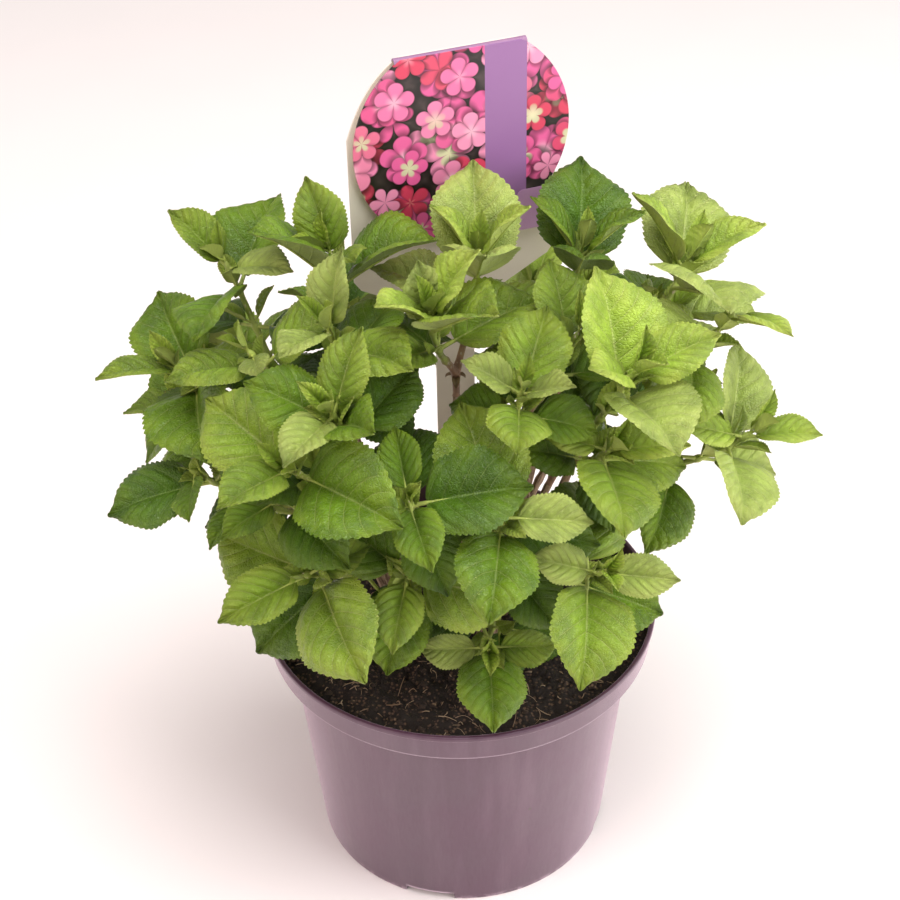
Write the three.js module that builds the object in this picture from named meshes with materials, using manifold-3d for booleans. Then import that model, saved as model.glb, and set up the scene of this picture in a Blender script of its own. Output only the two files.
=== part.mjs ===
// A potted hydrangea: nursery pot, soil, folded plant label, woody canes and the leafy shoots they
// carry. Millimetres, +Z up. The origin is the middle of the pot's underside, the front is -Y.

import * as THREE from 'three';
import { mergeVertices } from 'three/addons/utils/BufferGeometryUtils.js';
import Module from 'manifold-3d';

const CLEARANCE = 0.3; // air left between neighbouring solids

// Pot
const POT_HEIGHT = 163;
const RIM_RADIUS = 115;
const LIP_HEIGHT = 3; // thickened top edge of the rim
const LIP_OVERHANG = 0.9;
const COLLAR_HEIGHT = 18;
const COLLAR_RADIUS = 112.7; // at the collar's lower edge
const SHOULDER_HEIGHT = 8;
const SHOULDER_RADIUS = 101; // where the shoulder meets the body
const FOOT_RADIUS = 88;
const POT_WALL = 1.8;
const POT_FLOOR = 2;
const FOOT_STEP = 6; // height of the raised floor over the ground
const FOOT_RING_WIDTH = 4;
const CENTRE_PAD_RADIUS = 45; // flat pad under the middle of the pot
const POT_SEGMENTS = 36;
const POT_TURN = 8.5; // how far the pot stands turned about its axis, in degrees
const FOOT_NOTCHES = 4;
const NOTCH_WIDTH = 30;
const DRAIN_HOLES = 8;
const DRAIN_RADIUS = 5;
const DRAIN_CIRCLE = 70;

// Soil
const SOIL_LEVEL = 153; // flat middle, where the canes stand
const SOIL_EDGE_LEVEL = 150.5;
const SOIL_FLAT_RADIUS = 92;
const SOIL_SEGMENTS = 18;

// Label: one sheet folded at the top into a round front flap and a taller back panel on a stake
const LABEL_SHEET = 1.4;
const LABEL_BACK = 92; // distance behind the middle of the pot
const LABEL_YAW = 20; // degrees
const LABEL_SHIFT = 5; // sideways, from the stake to the middle of the disc
const DISC_RADIUS = 63;
const DISC_HEIGHT = 418; // its centre over the ground
const FOLD_RISE = 53; // fold line over the disc's centre
const FLAP_OPENING = 4.2; // air between the flap and the panel
const FLAG_WIDTH = 34;
const FLAG_HEIGHT = 26;
const FLAG_DROP = 65; // bottom of the flag under the disc's centre
const PANEL_HALF_WIDTH = 61;
const PANEL_SHIFT = 1; // sideways, from the stake to the middle of the panel
const PANEL_DROP = 84;
const PANEL_CORNER = 44; // height of its rounded top corners
const STAKE_WIDTH = 24;
const STAKE_DEPTH = 32; // below the soil
const STAKE_SHOULDER = 26;

// Canes
const CANE_FOOT_RADIUS = 2.9;
const CANE_TIP_RADIUS = 2.0;
const CANE_SIDES = 5;
const CANE_STATIONS = [0, 0.2, 0.4, 0.6, 0.8, 1];
const FOOT_CIRCLE = 16; // canes stand at least this far from the middle
const FOOT_SPREAD = 0.3; // share of a cane's reach that its foot is moved out by
const CANE_RISE = 0.55; // share of the height after which a cane leans out
const CANE_LEAN = 0.16;

// Shoots
const FORK_DROP = 58; // fork of a spray below its shoot tips
const FORK_PULL = 0.84; // share of the tips' reach that the fork has
const SPRAY_STEM = 16; // from a cane's tip to the fork
const STEM_RADIUS = 2.2;
const SHOOT_RADIUS = 2.1;
const SHOOT_TIP_RADIUS = 1.6;
const SHOOT_SIDES = 4;
const SHOOT_STATIONS = [0, 0.4, 0.7, 1]; // where a shoot's sections stand along its curve
const CROWN = { level: 235, across: 170, deep: 140, high: 155 }; // ellipsoid the shoots face out of
const LIGHT = new THREE.Vector3(0, -0.35, 0.94).normalize(); // the shoots grew towards the front light
const LIGHT_PULL = 0.5; // share of the light in the way that a shoot faces

// Each row is a cane with its shoots: azimuth of the tip in degrees from +X, reach from the axis,
// height over the ground, turn of the second leaf pair in degrees, and size of the leaves.
const CANES = [
  [[156, 138, 364, 155, 0.9], [170, 156, 312, 15, 1.05]],
  [[146, 81, 375, 110, 1.05], [117, 145, 285, 10, 0.95]],
  [[177, 112, 338, 100, 0.75], [188, 67, 360, 50, 1]],
  [[192, 148, 286, 85, 0.85], [203, 124, 280, 50, 0.75], [213, 112, 290, 20, 0.75]],
  [[220, 114, 318, 40, 1.05], [223, 87, 342, 50, 1.05]],
  [[225, 117, 254, 20, 1.1], [251, 85, 249, 70, 1]],
  [[309, 54, 341, 170, 0.8], [0, 66, 350, 20, 0.85]],
  [[253, 88, 304, 100, 0.9]],
  [[286, 88, 293, 0, 1], [290, 76, 250, 45, 0.65]],
  [[280, 86, 200, 5, 0.85], [312, 114, 254, 5, 0.95]],
  [[339, 88, 295, 10, 1], [345, 97, 340, 30, 1.1]],
  [[200, 14, 365, 35, 1], [73, 46, 370, 0, 0.95]],
  [[3, 164, 274, 10, 1], [15, 153, 297, 30, 0.5]],
  [[32, 156, 341, 0, 1.25], [11, 156, 341, -60, 1.1]],
  [[40, 92, 364, 0, 1.05], [23, 122, 342, 75, 0.95]],
  [[80, 148, 285, 35, 0.95], [68, 126, 305, 70, 0.9]],
  [[57, 152, 280, 60, 0.95], [38, 155, 276, 15, 0.95]],
  [[141, 160, 275, 45, 0.95], [158, 168, 262, 0, 0.9]],
];

const BLADE = [0.18, 0.5, 0.8]; // stations of a broad blade, from its base to its tip

// Leaf pairs of a shoot, from the oldest to the youngest: the section that the pair stands over,
// with its share of the way to the next, blade length, petiole, lift over the plane across the
// shoot, curl along the blade, fold along the midrib (degrees), breadth as a share of the length,
// and the stations that shape the solid blade.
const LEAF_PAIRS = [
  { at: 0.7, length: 42, petiole: 12, lift: -4, curl: 24, fold: 10, breadth: 0.8, stations: [0.25, 0.68] },
  { at: 1.3, length: 50, petiole: 10, lift: 12, curl: 22, fold: 10, breadth: 0.82, stations: BLADE },
  { at: 2.2, length: 57, petiole: 9, lift: 50, curl: 22, fold: 13, breadth: 0.82, stations: BLADE },
  { at: 2.75, length: 40, petiole: 7, lift: 62, curl: 14, fold: 16, breadth: 0.66, stations: [0.45] },
];
const PLACING_ORDER = [2, 1, 3, 0]; // the widest pairs take their space first
const TURN_JITTER = 9; // degrees
const LIFT_JITTER = 8;
const LENGTH_JITTER = 0.12;
const LEVELLING = 0.65; // share of its slope to the light that a leaf makes up for
const FLATTENING = 0.9; // how much flatter the leaves of a leaning shoot lie
const LEAF_MIDRIB = 1.5; // thickness at the midrib
const PETIOLE_RADIUS = 0.8;
const PETIOLE_START = 4; // from the shoot's axis to the petiole's full thickness
const PEAK = 0.4; // place of the greatest breadth along the blade
const SHAPE_BASE = 0.62; // powers of the ovate outline
const SHAPE_TIP = SHAPE_BASE * (1 - PEAK) / PEAK;

// A leaf that would come too near to another keeps the first change that frees it, or is skipped:
// share of its length, lift and turn in degrees.
const TRIES = [
  [1, 0, 0], [1, 12, 0], [1, -12, 0], [1, 6, 14], [1, 6, -14], [1, 24, 6], [0.9, -20, -8],
  [0.88, 10, 24], [0.88, 10, -24], [0.76, 30, 8], [0.76, -6, -16], [0.64, 0, 12], [0.64, 34, -10],
  [0.5, 16, 0],
];
const LEAF_SPACE = 6.5; // between sample points of different shoots' leaves
const SISTER_SPACE = 4; // between the outer halves of leaves on one shoot
const LIMB_SPACE = 4; // from a leaf to the skin of a limb
const SAMPLE_ROWS = 11;
const SAMPLE_COLUMNS = 9;
const SPACE_CELL = 12;
const SOIL_SPACE = 7;
const RIM_SPACE = 6;

const rad = THREE.MathUtils.degToRad;
const BACK = new THREE.Vector3(0, 1, 0);

const wasm = await Module();
wasm.setup();

// ---------------------------------------------------------------- solids

function solidFrom(geometry) {
  const bare = geometry.index ? geometry.clone() : geometry;
  bare.deleteAttribute('normal');
  bare.deleteAttribute('uv');
  const merged = mergeVertices(bare, 1e-4);
  const corners = merged.index.array;
  const kept = [];
  for (let i = 0; i < corners.length; i += 3) {
    const [a, b, c] = [corners[i], corners[i + 1], corners[i + 2]];
    if (a !== b && b !== c && c !== a) kept.push(a, b, c);
  }
  return new wasm.Manifold(new wasm.Mesh({
    numProp: 3,
    vertProperties: new Float32Array(merged.attributes.position.array),
    triVerts: new Uint32Array(kept),
  }));
}

function geometryFrom(solid) {
  const mesh = solid.getMesh();
  const geometry = new THREE.BufferGeometry();
  geometry.setAttribute('position', new THREE.BufferAttribute(mesh.vertProperties, 3));
  geometry.setIndex(new THREE.BufferAttribute(mesh.triVerts, 1));
  return geometry;
}

// A closed skin over rings of points, with a flat fan over each end; a ring of one point is a tip.
function loft(rings) {
  const points = rings.flat();
  const faces = [];
  const starts = rings.map((_, i) => rings.slice(0, i).reduce((sum, ring) => sum + ring.length, 0));
  for (let i = 0; i + 1 < rings.length; i++) {
    const [low, high] = [rings[i].length, rings[i + 1].length];
    for (let j = 0; j < Math.max(low, high); j++) {
      const a = starts[i] + j % low;
      const b = starts[i] + (j + 1) % low;
      const c = starts[i + 1] + (j + 1) % high;
      const d = starts[i + 1] + j % high;
      if (low > 1) faces.push(a, b, c);
      if (high > 1) faces.push(a, c, d);
    }
  }
  for (let j = 1; j + 1 < rings[0].length; j++) faces.push(0, j + 1, j);
  const last = starts[rings.length - 1];
  for (let j = 1; j + 1 < rings.at(-1).length; j++) faces.push(last, last + j, last + j + 1);
  const geometry = new THREE.BufferGeometry().setFromPoints(points);
  geometry.setIndex(faces);
  return solidFrom(geometry);
}

// The sections of a tapering limb, square to its curve at each station. The first corner of a
// section points to `corner` at the end, and is carried back from there.
function sections(curve, startRadius, endRadius, sides, stations, corner = BACK) {
  const rings = [];
  const across = corner.clone();
  for (const t of stations.toReversed()) {
    const along = curve.getTangent(t);
    across.addScaledVector(along, -across.dot(along)).normalize();
    const other = new THREE.Vector3().crossVectors(along, across);
    const centre = curve.getPoint(t);
    const radius = THREE.MathUtils.lerp(startRadius, endRadius, t);
    const ring = [];
    for (let j = 0; j < sides; j++) {
      const angle = 2 * Math.PI * j / sides;
      ring.push(centre.clone()
        .addScaledVector(across, radius * Math.cos(angle))
        .addScaledVector(other, radius * Math.sin(angle)));
    }
    rings.unshift(ring);
  }
  return rings;
}

// ---------------------------------------------------------------- pot, soil and label

function potProfile() {
  const collarFoot = POT_HEIGHT - COLLAR_HEIGHT;
  const shoulderFoot = collarFoot - SHOULDER_HEIGHT;
  const ringInside = FOOT_RADIUS - FOOT_RING_WIDTH;
  const floor = FOOT_STEP + POT_FLOOR;
  return [
    [0, 0], [CENTRE_PAD_RADIUS, 0], [CENTRE_PAD_RADIUS + 2, FOOT_STEP],
    [ringInside, FOOT_STEP], [ringInside, 0], [FOOT_RADIUS, 0],
    [SHOULDER_RADIUS, shoulderFoot], [COLLAR_RADIUS, collarFoot],
    [RIM_RADIUS - LIP_OVERHANG, POT_HEIGHT - LIP_HEIGHT], [RIM_RADIUS, POT_HEIGHT - LIP_HEIGHT],
    [RIM_RADIUS, POT_HEIGHT], [RIM_RADIUS - LIP_OVERHANG - POT_WALL, POT_HEIGHT],
    [COLLAR_RADIUS - POT_WALL, collarFoot + 1], [SHOULDER_RADIUS - POT_WALL, shoulderFoot + 1],
    [FOOT_RADIUS - POT_WALL, floor], [CENTRE_PAD_RADIUS, floor],
    [CENTRE_PAD_RADIUS - 2, POT_FLOOR], [0, POT_FLOOR],
  ].map(([r, z]) => new THREE.Vector2(r, z));
}

// A turned solid about +Z: the lathe turns about +Y, and is then stood up.
function turned(profile, segments) {
  const geometry = new THREE.LatheGeometry(profile, segments);
  geometry.rotateX(Math.PI / 2);
  return solidFrom(geometry);
}

function makePot() {
  let pot = turned(potProfile(), POT_SEGMENTS);
  for (let i = 0; i < FOOT_NOTCHES; i++) {
    const notch = new THREE.BoxGeometry(3 * FOOT_RING_WIDTH, NOTCH_WIDTH, 2 * (FOOT_STEP - 1));
    notch.translate(FOOT_RADIUS, 0, 0);
    notch.rotateZ(THREE.MathUtils.degToRad(POT_TURN) + 2 * Math.PI * (i + 0.75) / FOOT_NOTCHES);
    pot = pot.subtract(solidFrom(notch));
  }
  for (let i = 0; i < DRAIN_HOLES; i++) {
    const hole = new THREE.CylinderGeometry(DRAIN_RADIUS, DRAIN_RADIUS, 4 * POT_FLOOR, 8);
    hole.rotateX(Math.PI / 2);
    hole.translate(DRAIN_CIRCLE, 0, FOOT_STEP + POT_FLOOR / 2);
    hole.rotateZ(THREE.MathUtils.degToRad(POT_TURN) + 2 * Math.PI * i / DRAIN_HOLES);
    pot = pot.subtract(solidFrom(hole));
  }
  return geometryFrom(pot);
}

// The soil fills the pot a clearance inside its wall, with a slot for the label's stake.
function makeSoil() {
  const gap = CLEARANCE + POT_WALL;
  const collarFoot = POT_HEIGHT - COLLAR_HEIGHT;
  const shoulderFoot = collarFoot - SHOULDER_HEIGHT;
  const floor = FOOT_STEP + POT_FLOOR + CLEARANCE;
  const slope = (RIM_RADIUS - LIP_OVERHANG - COLLAR_RADIUS) / (COLLAR_HEIGHT - LIP_HEIGHT);
  const edge = COLLAR_RADIUS - gap + slope * (SOIL_EDGE_LEVEL - collarFoot - 1) - CLEARANCE;
  const profile = [
    [0, POT_FLOOR + CLEARANCE], [CENTRE_PAD_RADIUS - 2 - CLEARANCE, POT_FLOOR + CLEARANCE],
    [CENTRE_PAD_RADIUS - CLEARANCE, floor], [FOOT_RADIUS - gap, floor],
    [SHOULDER_RADIUS - gap, shoulderFoot + 1 + CLEARANCE],
    [COLLAR_RADIUS - gap - CLEARANCE, collarFoot + 1 + CLEARANCE],
    [edge, SOIL_EDGE_LEVEL], [SOIL_FLAT_RADIUS, SOIL_LEVEL], [0, SOIL_LEVEL],
  ].map(([r, z]) => new THREE.Vector2(r, z));
  const slot = new THREE.BoxGeometry(
    STAKE_WIDTH + 2 * CLEARANCE, LABEL_SHEET + 2 * CLEARANCE, 2 * (STAKE_DEPTH + CLEARANCE));
  slot.rotateZ(rad(LABEL_YAW));
  slot.translate(0, LABEL_BACK, SOIL_LEVEL);
  return geometryFrom(turned(profile, SOIL_SEGMENTS).subtract(solidFrom(slot)));
}

// The label's sheet is drawn in its own plane: x across, y up from the soil, z towards the front.
function makeLabel() {
  const centre = new THREE.Vector2(LABEL_SHIFT, DISC_HEIGHT - SOIL_LEVEL);
  const foldAngle = Math.asin(FOLD_RISE / DISC_RADIUS);
  const fold = Math.cos(foldAngle) * DISC_RADIUS;
  const foldLine = centre.y + FOLD_RISE;
  const sheet = { depth: LABEL_SHEET, bevelEnabled: false, curveSegments: 18 };

  const disc = new THREE.Shape();
  disc.absarc(centre.x, centre.y, DISC_RADIUS, foldAngle, Math.PI - foldAngle, true);
  disc.closePath();
  const flap = new THREE.ExtrudeGeometry(disc, sheet);
  flap.translate(0, 0, FLAP_OPENING);

  const flag = new THREE.BoxGeometry(FLAG_WIDTH, FLAG_HEIGHT, LABEL_SHEET);
  flag.translate(
    centre.x + DISC_RADIUS - FLAG_WIDTH / 2 + 3,
    centre.y - FLAG_DROP + FLAG_HEIGHT / 2,
    FLAP_OPENING + LABEL_SHEET / 2);

  const panelFoot = centre.y - PANEL_DROP;
  const left = PANEL_SHIFT - PANEL_HALF_WIDTH;
  const right = PANEL_SHIFT + PANEL_HALF_WIDTH;
  const half = STAKE_WIDTH / 2;
  const back = new THREE.Shape();
  back.moveTo(centre.x - fold, foldLine);
  back.quadraticCurveTo(left + PANEL_CORNER / 4, foldLine - PANEL_CORNER / 4, left, foldLine - PANEL_CORNER);
  back.lineTo(left, panelFoot);
  back.lineTo(-half, panelFoot - STAKE_SHOULDER);
  back.lineTo(-half, -STAKE_DEPTH + half);
  back.lineTo(0, -STAKE_DEPTH);
  back.lineTo(half, -STAKE_DEPTH + half);
  back.lineTo(half, panelFoot - STAKE_SHOULDER);
  back.lineTo(right, panelFoot);
  back.lineTo(right, foldLine - PANEL_CORNER);
  back.quadraticCurveTo(right - PANEL_CORNER / 4, foldLine - PANEL_CORNER / 4, centre.x + fold, foldLine);
  back.closePath();
  const panel = new THREE.ExtrudeGeometry(back, { ...sheet, curveSegments: 6 });

  const crease = new THREE.BoxGeometry(2 * fold, LABEL_SHEET, FLAP_OPENING + 2 * LABEL_SHEET);
  crease.translate(centre.x, foldLine - LABEL_SHEET / 2, FLAP_OPENING / 2 + LABEL_SHEET / 2);

  return geometryFrom(solidFrom(panel)
    .add(solidFrom(crease))
    .add(solidFrom(flap))
    .add(solidFrom(flag)));
}

// ---------------------------------------------------------------- canes and shoots

// Seeded noise from -1 to 1: the same four whole numbers always give the same value.
function jitter(shoot, pair, side, use) {
  let h = Math.imul(shoot + 1, 0x9E3779B1) ^ Math.imul(pair + 1, 0x85EBCA77);
  h ^= Math.imul(side + 1, 0xC2B2AE3D) ^ Math.imul(use + 1, 0x27D4EB2F);
  h = Math.imul(h ^ (h >>> 15), 0x2C1B3C6D);
  h = Math.imul(h ^ (h >>> 12), 0x297A2D39);
  return ((h ^ (h >>> 15)) >>> 0) / 2147483648 - 1;
}

const polar = (azimuth, reach, height) => new THREE.Vector3(
  reach * Math.cos(azimuth), reach * Math.sin(azimuth), height);

// The way a shoot faces: out of the crown's ellipsoid, and partly up to the light.
function facing(tip) {
  const out = new THREE.Vector3(
    tip.x / CROWN.across ** 2, tip.y / CROWN.deep ** 2, (tip.z - CROWN.level) / CROWN.high ** 2);
  return out.normalize().multiplyScalar(1 - LIGHT_PULL).addScaledVector(LIGHT, LIGHT_PULL).normalize();
}

// A cane rises from its foot and bends over to the fork of the spray that it carries.
function planCane(row, index) {
  const tips = row.map(([azimuth, reach, height]) => polar(rad(azimuth), reach, height));
  const axes = tips.map(facing);
  const fork = new THREE.Vector3();
  tips.forEach((tip, i) => fork.add(tip).addScaledVector(axes[i], -FORK_DROP));
  fork.divideScalar(tips.length);
  fork.x *= FORK_PULL;
  fork.y *= FORK_PULL;

  const reach = Math.hypot(fork.x, fork.y);
  const azimuth = Math.atan2(fork.y, fork.x);
  const foot = polar(azimuth, FOOT_CIRCLE + FOOT_SPREAD * reach, SOIL_LEVEL + CLEARANCE);
  const bend = foot.clone();
  bend.z += CANE_RISE * (fork.z - foot.z);
  bend.addScaledVector(polar(azimuth, 1, 0), CANE_LEAN * (bend.z - foot.z) * (1 + jitter(index, 0, 0, 9)) / 2);
  const lead = fork.clone().sub(bend).normalize();
  const start = fork.clone().addScaledVector(lead, -SPRAY_STEM);
  const end = start.clone().addScaledVector(lead, -CLEARANCE);
  return { tips, axes, fork, foot, start, cane: new THREE.QuadraticBezierCurve3(foot, bend, end) };
}

// The direction square to an axis at a turn in degrees, which is 0 towards +X and 90 towards +Y.
function outward(axis, turn) {
  const first = new THREE.Vector3().crossVectors(BACK, axis).normalize();
  const second = new THREE.Vector3().crossVectors(axis, first);
  return first.multiplyScalar(Math.cos(rad(turn))).addScaledVector(second, Math.sin(rad(turn)));
}

// A shoot leaves the fork and turns the way that its tip faces.
function shootCurve(plan, i) {
  const length = plan.fork.distanceTo(plan.tips[i]);
  const bend = plan.tips[i].clone().addScaledVector(plan.axes[i], -0.5 * length);
  return new THREE.QuadraticBezierCurve3(plan.fork, bend, plan.tips[i]);
}

// ---------------------------------------------------------------- leaves

// Half the breadth at a place from 0 at the base to 1 at the tip, as a share of its greatest value.
function outline(t) {
  const peak = PEAK ** SHAPE_BASE * (1 - PEAK) ** SHAPE_TIP;
  return t ** SHAPE_BASE * (1 - t) ** SHAPE_TIP / peak;
}

// The point of a shoot's straight-sided solid that a leaf pair stands on.
function pairRoot(curve, at) {
  const section = Math.floor(at);
  const from = curve.getPoint(SHOOT_STATIONS[section]);
  return from.lerp(curve.getPoint(SHOOT_STATIONS[section + 1]), at - section);
}

// Where a leaf grows and how it is set: opposite leaves, each pair a quarter turn from the last.
function setLeaf(plan, shoot, number, pairIndex, side, change) {
  const pair = LEAF_PAIRS[pairIndex];
  const [share, liftChange, turnChange] = change;
  const axis = plan.axes[shoot];
  const noise = (use) => jitter(number, pairIndex, side, use);
  const turn = plan.turns[shoot] + 90 * (pairIndex - 1) + 180 * side + TURN_JITTER * noise(0) + turnChange;
  const out = outward(axis, turn);
  const across = new THREE.Vector3().crossVectors(axis, out);
  const lean = Math.hypot(axis.x, axis.y);
  const lift = rad(pair.lift * (1 - FLATTENING * lean) + LIFT_JITTER * noise(1) + liftChange)
    - LEVELLING * Math.asin(out.dot(LIGHT));
  return {
    root: pairRoot(plan.shoots[shoot], pair.at),
    axis, out, across, lift,
    curl: rad(pair.curl) * (1 + 0.3 * noise(2)),
    fold: rad(pair.fold) * (1 + 0.3 * noise(3)),
    petiole: pair.petiole,
    length: pair.length * plan.sizes[shoot] * share * (1 + LENGTH_JITTER * noise(4)),
    breadth: pair.breadth,
    stations: pair.stations,
  };
}

// A point of the leaf: `along` is the distance from the stem's axis, `wide` the distance from the
// midrib over the folded half, `proud` the height over the blade. The midrib is an arc.
function leafPoint(leaf, along, wide, proud) {
  const bend = leaf.curl / (leaf.petiole + leaf.length);
  const angle = leaf.lift - bend * along;
  const forward = (Math.sin(leaf.lift) - Math.sin(angle)) / bend;
  const rise = (Math.cos(angle) - Math.cos(leaf.lift)) / bend;
  const height = Math.abs(wide) * Math.sin(leaf.fold) + proud;
  return leaf.root.clone()
    .addScaledVector(leaf.out, forward - height * Math.sin(angle))
    .addScaledVector(leaf.axis, rise + height * Math.cos(angle))
    .addScaledVector(leaf.across, wide * Math.cos(leaf.fold));
}

function leafSamples(leaf) {
  const samples = [];
  for (let i = 1; i <= SAMPLE_ROWS; i++) {
    const t = i / SAMPLE_ROWS;
    const half = leaf.length * leaf.breadth / 2 * outline(t);
    for (let j = 0; j < SAMPLE_COLUMNS; j++) {
      const wide = half * (2 * j / (SAMPLE_COLUMNS - 1) - 1);
      samples.push({ point: leafPoint(leaf, leaf.petiole + t * leaf.length, wide, 0), outer: t > 0.5 });
    }
  }
  return samples;
}

// A blade of four-sided sections, thickest at the midrib, on a petiole rooted in the shoot's axis.
function leafSolid(leaf) {
  const section = (along, half, thick) => [
    leafPoint(leaf, along, -half, 0), leafPoint(leaf, along, 0, -thick / 2),
    leafPoint(leaf, along, half, 0), leafPoint(leaf, along, 0, thick / 2),
  ];
  const rings = [[leaf.root], section(PETIOLE_START, PETIOLE_RADIUS, 2 * PETIOLE_RADIUS)];
  for (const t of leaf.stations) {
    const half = leaf.length * leaf.breadth / 2 * outline(t);
    rings.push(section(leaf.petiole + t * leaf.length, half, LEAF_MIDRIB));
  }
  rings.push([leafPoint(leaf, leaf.petiole + leaf.length, 0, 0)]);
  return loft(rings);
}

// ---------------------------------------------------------------- the space that each shoot keeps

class Space {
  constructor() {
    this.cells = new Map();
  }

  key(x, y, z) {
    return `${Math.floor(x / SPACE_CELL)},${Math.floor(y / SPACE_CELL)},${Math.floor(z / SPACE_CELL)}`;
  }

  add(point, owner, keep, outer = false) {
    const key = this.key(point.x, point.y, point.z);
    if (!this.cells.has(key)) this.cells.set(key, []);
    this.cells.get(key).push({ point, owner, keep, outer });
  }

  taken({ point, outer }, owner) {
    const tooNear = (other) => {
      const sister = other.owner === owner;
      if (sister && !(outer && other.outer)) return false;
      return other.point.distanceTo(point) < (sister ? SISTER_SPACE : other.keep);
    };
    for (const dx of [-SPACE_CELL, 0, SPACE_CELL]) {
      for (const dy of [-SPACE_CELL, 0, SPACE_CELL]) {
        for (const dz of [-SPACE_CELL, 0, SPACE_CELL]) {
          const cell = this.cells.get(this.key(point.x + dx, point.y + dy, point.z + dz)) ?? [];
          if (cell.some(tooNear)) return true;
        }
      }
    }
    return false;
  }
}

function addLimb(space, curve, radius, owner) {
  const steps = Math.ceil(curve.getLength() / 3);
  for (let i = 0; i <= steps; i++) space.add(curve.getPoint(i / steps), owner, radius + LIMB_SPACE);
}

function addLabel(space) {
  const across = polar(rad(LABEL_YAW), 1, 0);
  const front = polar(rad(LABEL_YAW - 90), 1, 0);
  for (let height = SOIL_LEVEL; height <= DISC_HEIGHT + FOLD_RISE; height += 5) {
    const wide = height > DISC_HEIGHT - PANEL_DROP - STAKE_SHOULDER;
    const half = wide ? DISC_RADIUS + LABEL_SHIFT : STAKE_WIDTH / 2;
    for (let x = -half; x <= half; x += 5) {
      const point = new THREE.Vector3(0, LABEL_BACK, height).addScaledVector(across, x);
      space.add(point, -1, LEAF_SPACE);
      if (wide) space.add(point.clone().addScaledVector(front, FLAP_OPENING), -1, LEAF_SPACE);
    }
  }
}

function overPot(point) {
  const inside = Math.hypot(point.x, point.y) < SHOULDER_RADIUS;
  return point.z > (inside ? SOIL_LEVEL + SOIL_SPACE : POT_HEIGHT + RIM_SPACE);
}

// Leaves are placed pair by pair over all shoots, so that every shoot gets its widest leaves.
function placeLeaves(plans) {
  const space = new Space();
  addLabel(space);
  const shoots = [];
  for (const plan of plans) {
    addLimb(space, plan.cane, CANE_FOOT_RADIUS, -1);
    addLimb(space, new THREE.LineCurve3(plan.start, plan.fork), STEM_RADIUS, -1);
    plan.tips.forEach((_, i) => {
      addLimb(space, plan.shoots[i], SHOOT_RADIUS, shoots.length);
      shoots.push([plan, i]);
    });
  }
  for (const pairIndex of PLACING_ORDER) {
    shoots.forEach(([plan, i], number) => {
      for (const side of [0, 1]) {
        for (const change of TRIES) {
          const leaf = setLeaf(plan, i, number, pairIndex, side, change);
          const samples = leafSamples(leaf);
          if (samples.every((sample) => overPot(sample.point) && !space.taken(sample, number))) {
            samples.forEach(({ point, outer }) => space.add(point, number, LEAF_SPACE, outer));
            plan.leaves.push(leaf);
            break;
          }
        }
      }
    });
  }
}

function planPlant() {
  const plans = CANES.map((row, index) => {
    const plan = planCane(row, index);
    plan.turns = row.map((tip) => tip[3]);
    plan.sizes = row.map((tip) => tip[4]);
    plan.shoots = plan.tips.map((_, i) => shootCurve(plan, i));
    plan.leaves = [];
    return plan;
  });
  placeLeaves(plans);
  return plans;
}

// A cane starts from a flat cut at the level of the soil.
function makeCane(plan) {
  const rings = sections(plan.cane, CANE_FOOT_RADIUS, CANE_TIP_RADIUS, CANE_SIDES, CANE_STATIONS);
  for (const point of rings[0]) point.z = plan.foot.z;
  return geometryFrom(loft(rings));
}

function makeSpray(plan) {
  const stem = new THREE.LineCurve3(plan.start, plan.fork);
  let solid = loft(sections(stem, CANE_TIP_RADIUS, STEM_RADIUS, SHOOT_SIDES, [0, 1]));
  plan.shoots.forEach((shoot, i) => {
    const corner = outward(plan.axes[i], plan.turns[i] + 45);
    const rings = sections(shoot, SHOOT_RADIUS, SHOOT_TIP_RADIUS, SHOOT_SIDES, SHOOT_STATIONS, corner);
    solid = solid.add(loft(rings));
  });
  for (const leaf of plan.leaves) solid = solid.add(leafSolid(leaf));
  return geometryFrom(solid);
}

// ---------------------------------------------------------------- assembly

const finish = (color, roughness) => new THREE.MeshStandardMaterial({ color, roughness, metalness: 0 });
const POT_PLASTIC = finish('#6f5569', 0.45);
const PEAT = finish('#2c211b', 0.95);
const LABEL_CARD = finish('#b5608f', 0.4);
const BARK = finish('#94765a', 0.8);
const LEAF = finish('#5f8f33', 0.5);

const plant = new THREE.Group();

function addNode(name, geometry, material) {
  const mesh = new THREE.Mesh(geometry, material);
  mesh.name = name;
  plant.add(mesh);
  return mesh;
}

addNode('pot', makePot(), POT_PLASTIC);
addNode('soil', makeSoil(), PEAT);
const label = addNode('label', makeLabel(), LABEL_CARD);
label.rotation.set(Math.PI / 2, 0, rad(LABEL_YAW), 'ZYX');
label.position.set(0, LABEL_BACK, SOIL_LEVEL);
label.translateZ(-LABEL_SHEET / 2);

planPlant().forEach((plan, index) => {
  const number = String(index + 1).padStart(2, '0');
  addNode(`cane_${number}`, makeCane(plan), BARK);
  addNode(`foliage_${number}`, makeSpray(plan), LEAF);
});

export default plant;
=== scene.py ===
"""Looks of a potted hydrangea: nursery pot, peat, folded label, woody canes, green shoots and leaves.

The growth rule and all shapes are in millimetres, and a mesh is scaled to metres as it is made.
+Z is up and the front is -Y.
"""

import logging
import math
from collections.abc import Sequence
from dataclasses import dataclass, field
from enum import Enum
from functools import cache

import bpy
import numpy as np
from bpy.types import ID, Material, Mesh, Node, NodeSocket as Socket, NodeTree, Object
from mathutils import Matrix, Vector


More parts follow.
